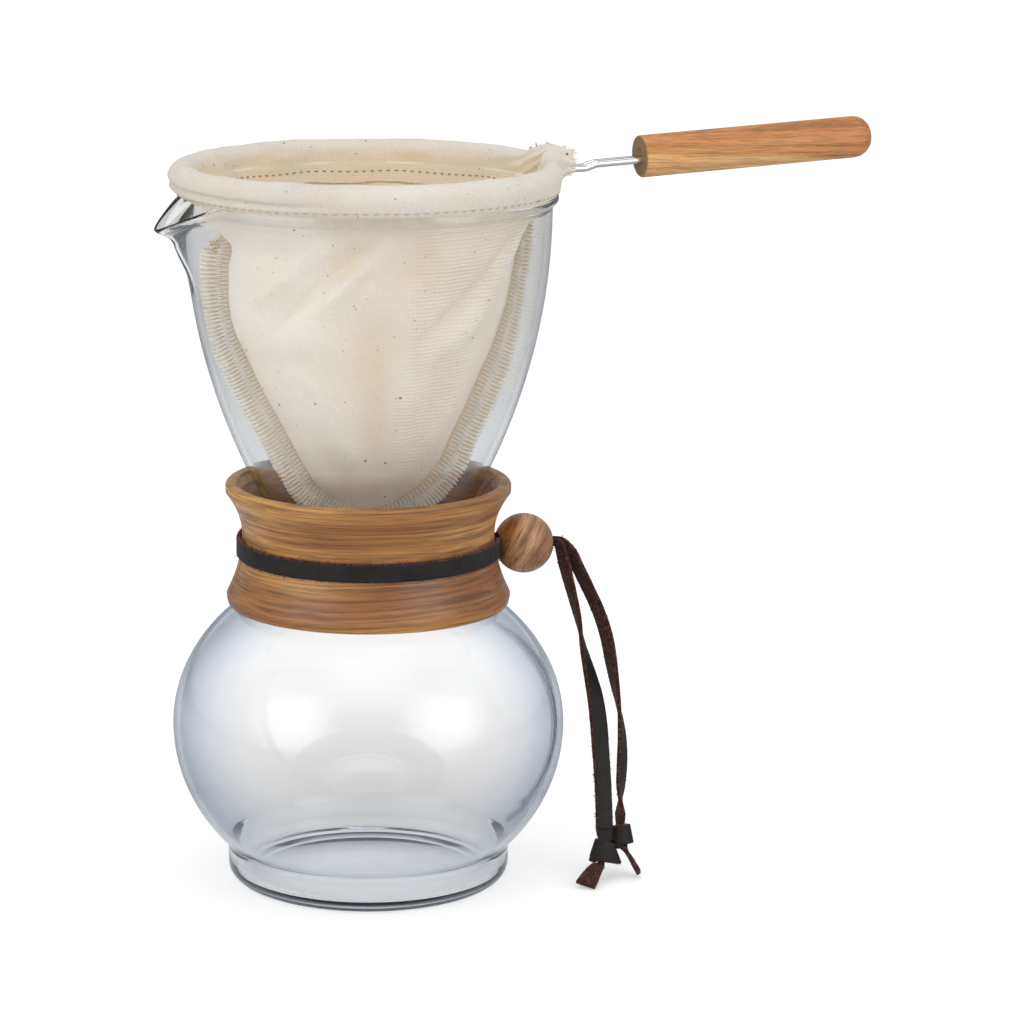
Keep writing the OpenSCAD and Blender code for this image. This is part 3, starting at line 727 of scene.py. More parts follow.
def make_loop(materials):
    """The strap in the bead, round the collar and back into the bead."""
    out = np.array([math.cos(BEAD_AZ), math.sin(BEAD_AZ), 0])
    side = np.array([-out[1], out[0], 0])
    degrees = np.linspace(9, 351, 220)
    angles = np.radians(degrees)
    height = LOOP_Z - (LOOP_Z - BEAD_Z) * bell(np.minimum(degrees, 360 - degrees), 17)
    mid = np.array([collar_out(z) for z in height]) + LOOP_GAP + STRAP_T / 2
    ring = (np.outer(np.cos(angles) * mid, out) + np.outer(np.sin(angles) * mid, side)
            + np.outer(height, [0, 0, 1]))
    ends = [out * r + side * s + np.array([0, 0, BEAD_Z]) for r, s in (
        (RUN_END, 0.64), (47, 0.64), (42, 0.66), (39.3, 0.9), (37.8, 2.2))]
    mirrored = [p - 2 * side * (p @ side) for p in ends]
    path = resample(np.concatenate([ends, ring[2:-2:6], mirrored[::-1]]), 320)
    t = tangents(path)
    across = squared(np.array([0, 0, 1.0]), t)
    through = np.cross(across, t)
    if (through * unit(path * np.array([1, 1, 0]))).sum(1).mean() < 0:
        through, across = -through, -across
    radial = np.hypot(path[:, 0], path[:, 1])
    width = STRAP_W * (1 - 0.04 * smooth_step((radial - 38) / 3))
    strap("strap_loop", path, across, through, width, materials, "pot", "thong_loop")
    fringe("strap_loop_fringe", path[30:-30], across[30:-30], through[30:-30], STRAP_W, 1500,
           materials[2], "pot", 0.55)


# Everything on the filter is set out along its handle: u along it, v across, z up
HANDLE_DEG = 19
HANDLE_AZ = math.radians(HANDLE_DEG)
COS_H, SIN_H = math.cos(HANDLE_AZ), math.sin(HANDLE_AZ)


def from_filter(points):
    """Points of the filter's own frame, in the frame of the whole."""
    p = np.asarray(points, float)
    return np.stack([p[..., 0] * COS_H - p[..., 1] * SIN_H,
                     p[..., 0] * SIN_H + p[..., 1] * COS_H, p[..., 2]], -1)


def filter_threads(name, paths, radius, material, sides):
    threads(name, [from_filter(p) for p in paths], radius, material, "filter",
            sides)


def cotton_material(name, tint, specks=True, shaded=False):
    """Unbleached cotton; tint is dark, light and a gold for painted shade and random tone. A
    shaded one reads from the points of its mesh how much gold it has, which is painted shade in
    its hollows with some random tone, and how ribbed it is, with painted shade in the grooves of
    its ribs."""
    material, n = new_material(name)
    flat = n.place()
    cloud = n.noise(flat, 34, 4, 0.55)
    fuzz = n.noise(flat, 1000, 3, 0.7)
    dark, light, gold_tone_and_shade = tint
    colour = n.ramp(cloud, [(0.3, dark), (0.7, light)])
    if shaded:
        # Painted shade: the gold is laid on by the tone of each point
        colour = n.mix(n.attribute("tone"), colour, gold_tone_and_shade)
        ribs = n.waves(n.place(rotation=(0, 0.035, 0)), 295, 2.2, 2.0, 0.35, "Z")
        ribbed = n.times(n.minus(1.0, ribs), n.attribute("ribs"))
        # Painted shade in the grooves of the ribs
        colour = n.mix(n.times(ribbed, 0.8), colour, gold_tone_and_shade)
    colour = n.mix(0.2, colour, n.ramp(fuzz, [(0.32, 0.7), (0.62, 1.0)]), "MULTIPLY")
    if specks:
        for scale, picked, size in ((215, 0.72, 0.062), (380, 0.5, 0.055)):
            cells = n.add("TexVoronoi", {"Vector": flat, "Scale": scale, "Randomness": 1.0})
            pick = n.ramp(n.add("SeparateColor", {0: cells.outputs["Color"]}),
                          [(picked, 0.0), (picked + 0.01, 1.0)])
            spot = n.ramp(cells.outputs["Distance"], [(size, 0.85), (size * 1.7, 0.0)])
            colour = n.mix(n.times(pick, spot), colour, "#4a3a2a")
    cloth = n.times(fuzz, 1.4)
    for direction in ("Z", "X"):
        yarns = n.waves(flat, 430, 1.5, 1.0, 40, direction)
        cloth = n.plus(cloth, n.times(yarns, 0.7))
    if shaded:
        cloth = n.minus(cloth, n.times(ribbed, 2.6))
    n.skin(colour, 0.92, n.bump(cloth, 0.5, 0.00016),
           {"Sheen Weight": 0.15, "Sheen Roughness": 0.5, "Specular IOR Level": 0.15})
    return material


def set_values(obj, name, values):
    """Keeps one number for each point of a mesh, for its material to read."""
    layer = obj.data.attributes.new(name, "FLOAT", "POINT")
    layer.data.foreach_set("value", np.asarray(values, np.float32).ravel())


def thread_material(name, low, high):
    """Thread or fibres, between two colours."""
    material, n = new_material(name)
    twist = n.noise(n.place(), 2600, 3, 0.6)
    colour = n.ramp(twist, [(0.3, low), (0.7, high)])
    n.skin(colour, 0.85, n.bump(twist, 0.5, 0.0001), {"Sheen Weight": 0.2})
    return material


# Bag, from its bottom to the hem
BAG_BOTTOM, HEM_Z0 = 107.5, 194.7
# How far it goes up into the hem, its least gap to the glass, and its thickness
TUCK, BAG_GAP, CLOTH_T = 1.4, 1.0, 0.85
# By height: both side seams, and how far each panel stands out between them
EDGE_LEFT = [(194.7, -47.7), (190, -45.6), (186, -42.4), (182.4, -39.6), (174.3, -39.9),
             (166.1, -40.0), (159.2, -38.9), (150.7, -35.2), (140.7, -30.5), (130.6, -25.0),
             (120.5, -19.7), (111.6, -13.2), (107.5, -6.5)]
EDGE_RIGHT = [(194.7, 47.7), (188, 45.6), (181.1, 43.6), (174, 43.0), (167.2, 42.0),
              (160, 40.4), (153.4, 38.2), (139.7, 32.0), (126, 25.4), (116.3, 20.0),
              (110.5, 14.0), (107.5, 8.0)]
DEPTH = [(194.7, 47.8), (186, 45.6), (173.7, 42.3), (159.7, 37.3), (146.6, 31.2),
         (133.4, 24.2), (122, 17), (113.3, 10), (107.5, 1.0)]
# Soft creases on the panels: (angle, height) of both ends, width and height in mm
CREASES_FRONT = [((121, 190), (156, 166), 3.4, 2.3), ((110, 189), (147, 158), 3.6, -2.3),
                 ((99, 192), (131, 166), 3.2, 1.8), ((151, 190), (167, 176), 3.0, 1.6),
                 ((90, 193), (100, 172), 3.2, -1.5), ((78, 192), (90, 150), 4.6, 1.6),
                 ((112, 168), (101, 118), 8.0, -2.0), ((88, 160), (92, 115), 5.0, 1.4),
                 ((47, 188), (90, 156), 3.2, -1.9), ((40, 186), (80, 150), 4.6, 1.5),
                 ((30, 193), (42, 170), 3.2, -2.4), ((60, 140), (80, 114), 6.0, 1.2),
                 ((140, 150), (118, 118), 6.0, 1.4)]
CREASES_BACK = [((70, 194), (84, 130), 5.0, 1.5), ((112, 194), (100, 140), 5.0, -1.6),
                ((44, 192), (70, 150), 4.5, 1.5), ((140, 192), (118, 145), 5.0, 1.4),
                ((92, 190), (92, 120), 6.0, -1.3), ((56, 186), (40, 160), 4.0, -1.4),
                ((128, 190), (146, 165), 4.0, -1.4)]


def freedom(angle, z):
    """How freely the cloth moves: not along the hem, nor at the side seams."""
    return smooth_step((HEM_Z0 - 3 - z) / 12) * np.sin(np.radians(angle)) ** 0.5


def folds(angle, z, creases, seed):
    """How far the cloth stands out at an angle along the panel and a height."""
    total = 0.5 * np.sin(np.radians(7 * angle) + seed + 0.5 * np.sin(z / 15))
    total = total + 0.35 * np.sin(np.radians(12 * angle) + 2 * seed - z / 22)
    for (a0, z0), (a1, z1), width, height in creases:
        t = np.clip((z - z0) / (z1 - z0), -0.1, 1.1)
        off = (angle - (a0 + (a1 - a0) * t)) * 0.65
        fade = smooth_step((t + 0.1) / 0.3) * smooth_step((1.1 - t) / 0.4)
        total += height * bell(off, width) * fade
    return total * freedom(angle, z)


def bag_grid(side, creases, seed, rows=150, cols=128):
    """Points of a panel's outer face, and how far its folds stand out at each of them."""
    z = np.concatenate([[HEM_Z0 + TUCK], np.linspace(HEM_Z0, BAG_BOTTOM, rows)])[:, None]
    level = np.minimum(z, HEM_Z0)
    left, right = spline_at(EDGE_LEFT, level), spline_at(EDGE_RIGHT, level)
    angle = np.linspace(0, 180, cols + 1)
    rad = np.radians(angle)
    sharp = 1 + 0.35 * smooth_step((HEM_Z0 - level) / 60)
    if side < 0:    # the front lies flatter towards its right seam
        sharp = sharp + 0.9 * (smooth_step((HEM_Z0 - 3 - level) / 22)
                               * smooth_step((78 - angle) / 60))
    u = (left + right) / 2 + (right - left) / 2 * np.cos(rad)
    v = side * spline_at(DEPTH, level) * np.sin(rad) ** sharp
    out = folds(angle, level, creases, seed)
    normal_u, normal_v = 0.6 * np.cos(rad), side * np.sin(rad)
    norm = np.hypot(normal_u, normal_v) + 1e-9
    u = u + out * normal_u / norm
    v = v + out * normal_v / norm
    # The lower edge sags over the seam
    sag = 1.8 * smooth_step((112 - z) / 4.5) * np.clip(1 - (u / 9) ** 2, 0, 1)
    grid = np.stack([u, v, z - sag], -1)
    uneven = wobble(grid, 9, seed) * 0.4 + wobble(grid, 3.2, seed + 4) * 0.1
    grid[..., 1] += side * uneven * freedom(angle, level)
    room = np.array([glass_in(h) for h in level[:, 0]])[:, None] - BAG_GAP
    reach = np.hypot(grid[..., 0], grid[..., 1])
    grid[..., :2] *= np.minimum(1, room / np.maximum(reach, 1e-6))[..., None]
    return grid, out


def panel_shade_and_ribs(grid, out, side):
    """How gold and how ribbed a panel is at each point. The gold is mostly painted shade, with
    some random tone.
    """
    z = grid[..., 2]
    angle = np.degrees(np.arctan2(side * grid[..., 1], grid[..., 0]))
    # Painted shade: more gold in the hollows of the folds; the wobble is random tone
    tone = 0.12 - 0.14 * out + 0.14 * wobble(grid, 22, 31)
    # Painted shade: a gold band near the middle and more gold towards the bottom; painted light
    # takes gold away high up towards the spout-side seam
    tone += 0.3 * bell(angle - 104, 17)
    tone -= 0.3 * smooth_step((angle - 122) / 18) * smooth_step((z - 150) / 20)
    tone += 0.4 * smooth_step((128 - z) / 20)
    ribs = smooth_step((98 - angle) / 10) * smooth_step((angle - 24) / 12)
    ribs = ribs * smooth_step((z - 112) / 8) * (0.75 + 0.5 * wobble(grid, 14, 33))
    return np.clip(tone, 0, 1), np.clip(ribs, 0, 1)


def panel(name, side, creases, seed, material, node):
    """A panel of the bag as a closed sheet; side is -1 for the front and 1 for the back."""
    outer, out = bag_grid(side, creases, seed)
    tone, ribs = panel_shade_and_ribs(outer, out, side)
    rows, cols = outer.shape[:2]
    normal = unit(np.cross(np.gradient(outer, axis=0), np.gradient(outer, axis=1)))
    flip = np.sign((normal * (outer - outer.mean(axis=1, keepdims=True))).sum())
    inner = outer - normal * flip * CLOTH_T
    inner[:, [0, -1]] = outer[:, [0, -1]] * [0.975, 1, 1]
    inner[:, [0, -1], 1] = side * 0.1
    inner[..., 1] = np.where(side * inner[..., 1] < 0.05, side * 0.05, inner[..., 1])
    outer[..., 1] = np.where(side * outer[..., 1] < 0.12, side * 0.12, outer[..., 1])
    points = from_filter(np.concatenate([outer.reshape(-1, 3), inner.reshape(-1, 3)]))
    base = rows * cols
    index = np.arange(base).reshape(rows, cols)
    rim = [*index[0], *index[1:, -1], *index[-1, -2::-1], *index[-2:0:-1, 0]]
    faces = grid_faces(rows, cols) + grid_faces(rows, cols, first=base)
    faces += [(a, b, base + b, base + a) for a, b in zip(rim, rim[1:] + rim[:1])]
    obj = piece(name, points, faces, [material], "filter", replaces=(node,))
    # The inner face gets more gold: painted shade inside the bag
    set_values(obj, "tone", np.concatenate([tone.ravel(), np.clip(tone + 0.3, 0, 1).ravel()]))
    set_values(obj, "ribs", np.concatenate([ribs.ravel(), 0.3 * ribs.ravel()]))
    return obj


# Seam allowance round the bag, with its overlocking
SEAM_W, SEAM_GAP = 6.6, 0.9
SEAM_TOP_LEFT, SEAM_TOP_RIGHT = 184.2, 188.5


def seam_line():
    """Points along the seam from the top of its left side to that of its right side."""
    left = [(spline_at(EDGE_LEFT, z), z) for z in np.linspace(SEAM_TOP_LEFT, BAG_BOTTOM, 60)]
    right = [(spline_at(EDGE_RIGHT, z), z) for z in np.linspace(BAG_BOTTOM, SEAM_TOP_RIGHT, 64)]
    line = np.array([(float(u), 0.0, z) for u, z in left + right])
    return resample(line, 330)


def seam_frame():
    """The stitch line, and the free edge of the allowance beside it."""
    line = seam_line()
    t = tangents(line)
    outward = np.stack([t[:, 2], np.zeros(len(t)), -t[:, 0]], 1)
    middle = np.array([0, 0, 150])
    if ((line - middle) * outward).sum() < 0:
        outward = -outward
    for _ in range(6):
        outward = unit(outward + 0.5 * (np.roll(outward, 1, 0) + np.roll(outward, -1, 0)))
        outward[0], outward[-1] = outward[1], outward[-2]
    share = np.linspace(0, 1, len(line))
    lean = 0.9 * np.sin(share * 31) + 0.6 * np.sin(share * 57 + 1)
    width = np.full(len(line), SEAM_W)
    width *= 0.55 + 0.45 * smooth_step(share / 0.03)
    width *= 0.3 + 0.7 * smooth_step((1 - share) / 0.06)
    tip = line + outward * width[:, None]
    room = np.array([glass_in(z) for z in tip[:, 2]]) - SEAM_GAP
    over = np.maximum(0, np.abs(tip[:, 0]) - room)
    tip[:, 0] -= np.sign(tip[:, 0]) * over
    tip[:, 1] = lean * 0.6 - 2.8 * smooth_step((share - 0.5) / 0.15)
    return line, tip


def seam_place(line, tip, share, off):
    """Points across the allowance: share 0 at the stitch line, 1 at the edge."""
    place = line * (1 - share) + tip * share
    place[:, 1] += share * (1 - share) + off
    return place


def make_seam(cloth, cream, tan):
    line, tip = seam_frame()
    shares = [-0.1, 0.1, 0.35, 0.6, 0.85, 0.97, 1.0]
    half = [0.75, 0.85, 0.9, 0.95, 0.9, 0.7, 0.0]
    front = [(share, -t) for share, t in zip(shares, half)]
    back = [(share, t) for share, t in zip(shares[-2::-1], half[-2::-1])]
    grid = np.stack([seam_place(line, tip, share, off) for share, off in front + back], 1)
    grid += 0.12 * wobble(grid, 1.3, 11)[..., None] * np.array([0.4, 1, 0.4])
    rows, cols = grid.shape[:2]
    obj = piece("bag_seam", from_filter(grid.reshape(-1, 3)), tube_faces(rows, cols), [cloth],
                "filter", replaces=("cloth_seam",))
    overlock(line, tip, cream, tan)
    return obj


PITCH = 1.15
# A thread over the edge: for each of its points, how far it has gone along the seam, its
# share across the allowance, and how far off the middle of the cloth it is
OVER_EDGE = ((0, 0.34, -0.8), (0, 0.42, -1.08), (0.5, 0.65, -1.14), (1, 0.88, -1.08),
             (1, 1.05, -0.55), (1, 1.08, 0.35), (1, 0.88, 1.1), (0.5, 0.65, 1.14),
             (0, 0.42, 1.08), (0, 0.34, 0.8))


def seam_point(line, tip, length, distance, share, off):
    """A point at a distance along the seam, a share across its allowance, off its middle."""
    s = np.clip(distance, 0, length[-1])
    a, b = [np.array([np.interp(s, length, edge[:, k]) for k in range(3)])
            for edge in (line, tip)]
    p = a * (1 - share) + b * share
    p[1] += off
    return p


def edge_threads(line, tip):
    """Slanting threads over the edge of the allowance with their fuzz, and a tan patch at
    its cut end on the left."""
    length = run_length(tip)
    at = partial(seam_point, line, tip, length)
    over, fuzz, patch = [], [], []
    for k in range(int(length[-1] / PITCH)):
        s = k * PITCH + random.uniform(-0.1, 0.1)
        for lean, start in ((0.45, 0.0), (-0.35, 0.55)):
            b = s + start * PITCH
            long = lean * PITCH + random.uniform(-0.12, 0.12)
            group = patch if k < 4 and start else over
            group.append([at(b + part * long, share, off) for part, share, off in OVER_EDGE])
        for _ in range(3):
            e = s + random.uniform(0, PITCH)
            start = at(e, random.uniform(0.8, 1.05), random.uniform(-1, 1))
            away = unit(at(e, 1.3, 0) - at(e, 0.9, 0))
            bend = scatter(0.35)
            fuzz.append([start, start + away * 0.4 + bend * 0.4, start + away * 0.6 + bend])
    return over, fuzz, patch


def line_loops(line, tip):
    """Loops of thread along the stitch line, on both faces."""
    length = run_length(line)
    at = partial(seam_point, line, tip, length)
    loops = []
    for k in range(int(length[-1] / PITCH)):
        s = k * PITCH + random.uniform(-0.1, 0.1)
        for face in (-1, 1):
            reach = 0.46 + 0.08 * random.random()
            loops.append([at(s, 0.0, 0.95 * face), at(s + 0.3 * PITCH, reach, 1.32 * face),
                          at(s + 0.6 * PITCH, reach, 1.34 * face),
                          at(s + 1.05 * PITCH, 0.0, 1.0 * face)])
    return loops


def overlock(line, tip, cream, tan):
    over, fuzz, patch = edge_threads(line, tip)
    loops = line_loops(line, tip)
    for name, paths, radius, material in (
            ("seam_threads", over, 0.22, cream), ("seam_loops", loops, 0.17, cream),
            ("seam_fuzz", fuzz, 0.07, cream), ("seam_patch", patch, 0.24, tan)):
        filter_threads(name, paths, radius, material, 5)


# Hem: a puffed sleeve round the wire, whose two ends are gathered out towards the handle
HEM_MID_R, HEM_MID_Z = 50.7, 198.4
# Its section, (out, up) from its middle, on the rim and where the rim dips into the spout
HEM_TOP = [(3.9 * math.cos(math.radians(a)), 3.9 * math.sin(math.radians(a)))
           for a in range(0, 181, 12)]
HEM_INSIDE = [(-3.92, -1.6), (-4.0, -3.3), (-4.3, -5.0), (-4.75, -6.6), (-5.05, -7.4),
              (-4.8, -7.75), (-4.25, -7.2), (-3.6, -5.6), (-2.7, -4.1), (-1.9, -3.72)]
HEM_FOOT = [(-0.8, -3.66), (0.4, -3.66), (1.1, -3.9), (1.55, -4.35), (1.85, -4.5),
            (2.15, -4.2), (2.6, -3.55), (3.05, -2.8), (3.45, -1.95), (3.75, -1.0)]
HEM_FOOT_SPOUT = [(-2.6, -4.6), (-2.9, -5.6), (-2.8, -6.3), (-2.3, -6.3), (-1.7, -6.0),
                  (-0.6, -5.4), (0.9, -4.6), (2.4, -3.3), (3.3, -2.1), (3.75, -1.0)]
HEM_CORNERS = len(HEM_TOP + HEM_INSIDE + HEM_FOOT)
HEM_POINTS = 84
HEM_STEP = 0.55
# How far both layers of its inner flap lie inside the outer face of the bag
FLAP_FACE = 1.4
FLAP_BACK = (0.8, 0.5)


def closed_outline(points, count):
    """count points on a smooth closed outline, spread by the number of its corners."""
    points = np.array(points + points[:3], float)
    index = np.arange(len(points))
    at = np.linspace(1, len(points) - 2, count, endpoint=False)
    return np.stack([spline_at(np.stack([index, points[:, k]], 1), at) for k in (0, 1)], 1)


def hem_path():
    """Middle of the sleeve: round the hoop, then out beside the wires at both ends."""
    ring = np.radians(np.linspace(12, 348, 113))
    circle = np.stack([HEM_MID_R * np.cos(ring), HEM_MID_R * np.sin(ring)], 1)
    out = np.array([(58.3, 2.4), (56.0, 2.6), (53.6, 3.4), (51.7, 4.9), (50.6, 7.2)])
    path = np.concatenate([out, circle, (out * [1, -1])[::-1]])
    path = np.concatenate([path, np.full((len(path), 1), HEM_MID_Z)], 1)
    return resample(path, 640)


def hem_section(spout_angle, to_end):
    """The section at each step of the sleeve, how gathered it is there, and the section
    before it is drawn in towards the handle."""
    usual = closed_outline(HEM_TOP + HEM_INSIDE + HEM_FOOT, HEM_POINTS)
    spout = closed_outline(HEM_TOP + HEM_INSIDE + HEM_FOOT_SPOUT, HEM_POINTS)
    dip = smooth_step(1 - np.abs(spout_angle) / 21)[:, None, None]
    section = usual * (1 - dip) + spout * dip
    a, b = section[..., 0], section[..., 1]
    # Near the handle the sleeve is drawn in, then gathered flat and tall beside the wire
    drawn = smooth_step((62 - to_end) / 50)[:, None]
    a = np.where(a > 0, a * (1 - 0.42 * drawn), a * (1 - 0.1 * drawn)) - 0.3 * drawn
    turn = np.linspace(0, 2 * math.pi, HEM_POINTS, endpoint=False)
    tall = spline_at([(0, 4.6), (3, 5.6), (7, 6.6), (14, 5.0), (20, 3.9)], to_end)[:, None]
    low = spline_at([(0, -2.0), (2, -2.8), (4, -4.0), (8, -4.6), (20, -4.6)], to_end)[:, None]
    flat_a = 1.9 * np.cos(turn) + 0.1
    flat_b = (tall + low) / 2 + (tall - low) / 2 * np.sin(turn)
    gather = smooth_step((13 - to_end) / 11)[:, None]
    a, b = a * (1 - gather) + flat_a * gather, b * (1 - gather) + flat_b * gather
    return a, b, gather, section


def against_bag(a, b, gather, angle):
    """Moves the inner flap of the section onto the inside of the bag."""
    level = np.minimum(HEM_MID_Z + b, HEM_Z0)
    edge = np.where(np.cos(angle) > 0, spline_at(EDGE_RIGHT, level), -spline_at(EDGE_LEFT, level))
    bag = 1 / np.hypot(np.cos(angle) / edge, np.sin(angle) / spline_at(DEPTH, level))
    inwards = bag - HEM_MID_R
    corner = np.arange(HEM_POINTS) / HEM_POINTS * HEM_CORNERS + 1
    flap = (corner > len(HEM_TOP) + 0.5) & (a < -2.4) & (gather < 0.01)
    face = flap & (corner < len(HEM_TOP) + 5.5)
    a = np.where(face, np.minimum(a, inwards - FLAP_FACE), a)
    return np.where(flap & ~face, np.clip(a, inwards - FLAP_BACK[0], inwards - FLAP_BACK[1]), a)


def hem_grid():
    """Points of the sleeve, the way outwards at each, and what the relief is laid out by."""
    path = hem_path()
    t = tangents(path)
    out = np.stack([t[:, 1], -t[:, 0], np.zeros(len(t))], 1)
    count = len(path)
    step = np.linalg.norm(np.diff(path, axis=0), axis=1).mean()
    to_end = np.minimum(np.arange(count), np.arange(count)[::-1]) * step
    world = (np.degrees(np.arctan2(path[:, 1], path[:, 0])) + HANDLE_DEG + 360) % 360
    a, b, gather, section = hem_section(world - SPOUT_DEG, to_end)
    a = against_bag(a, b, gather, np.radians(world[:, None] - HANDLE_DEG))
    grid = path[:, None] + out[:, None] * a[..., None]
    grid[..., 2] += b
    away = unit(out[:, None] * a[..., None] + np.array([0, 0, 1.0]) * (b + 0.4)[..., None])
    return grid, away, world, to_end, section


def hem_relief(grid, world, to_end, section):
    """Puffs, puckers and the long crease of the sleeve, as a distance outwards."""
    a, b = section[..., 0], section[..., 1]
    loose = smooth_step((b + 3.4) / 2.5) + 0.25 * (a < -2)
    relief = (0.36 * wobble(grid, 13, 21) + 0.2 * wobble(grid, 5, 22)) * loose
    near = world[:, None]
    outer = (a > 0) & (b > -4.2)
    crease = smooth_step((near - 168) / 16) * smooth_step((268 - near) / 36)
    line = -1.5 - 0.5 * np.sin(np.radians(near * 1.7))
    relief -= 1.15 * crease * bell(b - line, 0.55) * outer
    relief += 0.3 * crease * bell(b - line + 1.3, 0.8) * outer
    length = np.arange(len(grid))[:, None] * HEM_STEP
    pucker = np.sin(length * 2 * math.pi / 2.75 + 2 * wobble(grid, 9, 24))
    relief += 0.1 * pucker * bell(b + 3.1, 1.1) * outer
    slack = np.sin(length * 2 * math.pi / 31 + 1.2 * wobble(grid, 20, 26) + 0.25 * b)
    relief += 0.26 * (1 + slack) * ((a < -2) & (b < 1.5)) * smooth_step((1.5 - b) / 3)
    ends = smooth_step((26 - to_end) / 22)[:, None]
    ruffle = np.sin(b * 1.9 + 1.1 * wobble(grid, 6, 27) + length * 0.25)
    return relief + 0.3 * ends * ruffle


def make_hem(cloth):
    grid, away, world, to_end, section = hem_grid()
    grid = grid + away * hem_relief(grid, world, to_end, section)[..., None]
    path = grid.mean(axis=1)
    t = tangents(path)
    ragged = wobble(grid, 1.6, 25) * 1.1 + wobble(grid, 0.6, 28) * 0.5
    grid = grid + t[:, None] * (ragged * bell(to_end, 1.6)[:, None])[..., None]
    rows, cols = grid.shape[:2]
    faces = grid_faces(rows, cols, True)
    points = list(grid.reshape(-1, 3))
    for row, step in ((0, 1), (rows - 1, -1)):
        # The open mouth at each end: its wall, a pocket and a nearly shut bottom
        last = row * cols
        centre = grid[row].mean(axis=0)
        for shrink, depth in ((0.72, 0.1), (0.5, 2.2), (0.05, 2.6)):
            faces += band(last, len(points), cols, True)
            last = len(points)
            points.extend(centre + (grid[row] - centre) * shrink + t[row] * step * depth)
    obj = piece("bag_hem", from_filter(points), faces, [cloth], "filter",
                replaces=("cloth_hem",))
    a, b = section[..., 0], section[..., 1]
    # Painted shade: the inside of the sleeve is more gold, and the pockets at its ends are gold;
    # the wobble is random tone
    inside = smooth_step((-0.5 - a) / 3) * smooth_step((3.2 - b) / 4)
    tone = 0.5 * inside + 0.12 * wobble(grid, 16, 29) + 0.08
    tone += 0.3 * inside * wobble(grid, 11, 30)
    pocket_shade = np.zeros(len(points) - tone.size) + 0.7
    set_values(obj, "tone", np.clip(np.concatenate([tone.ravel(), pocket_shade]), 0, 1))
    set_values(obj, "ribs", np.zeros(len(points)))
    return obj, grid, away


def hem_stitches(grid, away, light, dark):
    """Stitches through the foot of the sleeve, light ones outside and dark ones inside."""
    spacing = 5
    for name, corner, thread, long, radius in (
            ("hem_stitches", HEM_CORNERS - 3, light, 0.5, 0.16),
            ("hem_stitches_in", len(HEM_TOP) + 2, dark, 0.34, 0.2)):
        column = int(round((corner - 1) / (HEM_CORNERS + 1) * HEM_POINTS))
        paths = []
        for i in range(26, len(grid) - 30, spacing):
            path = []
            for s in (0, 0.33, 0.67, 1):
                at = i + s * long * spacing
                low, part = int(at), at - int(at)
                p = grid[low, column] * (1 - part) + grid[low + 1, column] * part
                lift = 0.16 * math.sin(math.pi * s) + 0.02
                path.append(p + away[low, column] * lift)
            paths.append(path)
        filter_threads(name, paths, radius, thread, 6)


def frayed_ends(grid, cream, tan):
    """Loose fibres at the two cut ends of the hem, and a tan tuft on the far one."""
    fibres, tuft = [], []
    for row, step in ((0, 1), (grid.shape[0] - 1, -1)):
        out = unit(grid[row].mean(axis=0) - grid[row + 8 * step].mean(axis=0))
        for _ in range(260):
            k = random.randrange(grid.shape[1])
            start = grid[row + step * random.randrange(3), k]
            long = random.uniform(0.5, 1.7)
            bend = scatter(1)
            fibres.append([start - out * 0.4, start + out * long * 0.4 + bend * 0.1,
                           start + out * long * 0.8 + bend * 0.28 * long])
    top = grid[:, :, 2].argmax(axis=1)
    for i in range(8, 22):
        for _ in range(4):
            start = grid[i, top[i]] + scatter(0.3)
            start[2] -= 0.3
            bend = scatter(0.45)
            tuft.append([start - [0, 0, 0.4], start + bend * 0.5 + [0, 0, 0.15],
                         start + bend + [0, 0, -0.1]])
    filter_threads("hem_fibres", fibres, 0.075, cream, 4)
    filter_threads("hem_tuft", tuft, 0.11, tan, 4)


# Steel
def steel_material():
    """Bright drawn wire, with painted reflection that darkens it where it is seen at a slant."""
    material, n = new_material("steel_wire")
    drawn = n.noise(n.place(), 900, 2, 0.5)
    # Painted reflection: light face-on, dark at a slant
    colour = n.ramp(n.slant(), [(0.15, "#f4f1ec"), (0.5, "#c9c4bc"), (0.78, "#6f6b66"),
                                (1.0, "#34312e")])
    rough = n.ramp(drawn, [(0.3, 0.2), (0.7, 0.28)])
    n.skin(colour, rough, n.bump(drawn, 0.03, 0.00003), {"Metallic": 1.0})
    return material


def dress(node, material):
    """Gives a solid of the CAD a new material."""
    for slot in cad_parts[node].material_slots:
        slot.material = material


# Studio. The room is white straight ahead, and bluish grey where shiny surfaces mirror it
ROOM_FLOOR = (0.49, 0.53, 0.58, 1)
ROOM_SKY = (0.66, 0.72, 0.80, 1)


def background(n):
    """What a ray is when it meets the backdrop, as four shares: seen by the camera, seen
    straight through glass, mirrored or bent by a shiny surface, on its way through glass
    to light something dull."""
    path = n.add("LightPath")
    first = n.math("LESS_THAN", path.outputs["Diffuse Depth"], 0.5)
    near = n.math("LESS_THAN", path.outputs["Ray Depth"], 4.5)
    glass = n.times(path.outputs["Is Transmission Ray"], first)
    through = n.times(glass, near)
    shine = n.times(path.outputs["Is Glossy Ray"], first)
    mirrored = n.minus(n.math("MAXIMUM", glass, shine), through)
    inside = n.minus(path.outputs["Is Transmission Ray"], glass)
    return path.outputs["Is Camera Ray"], through, mirrored, inside


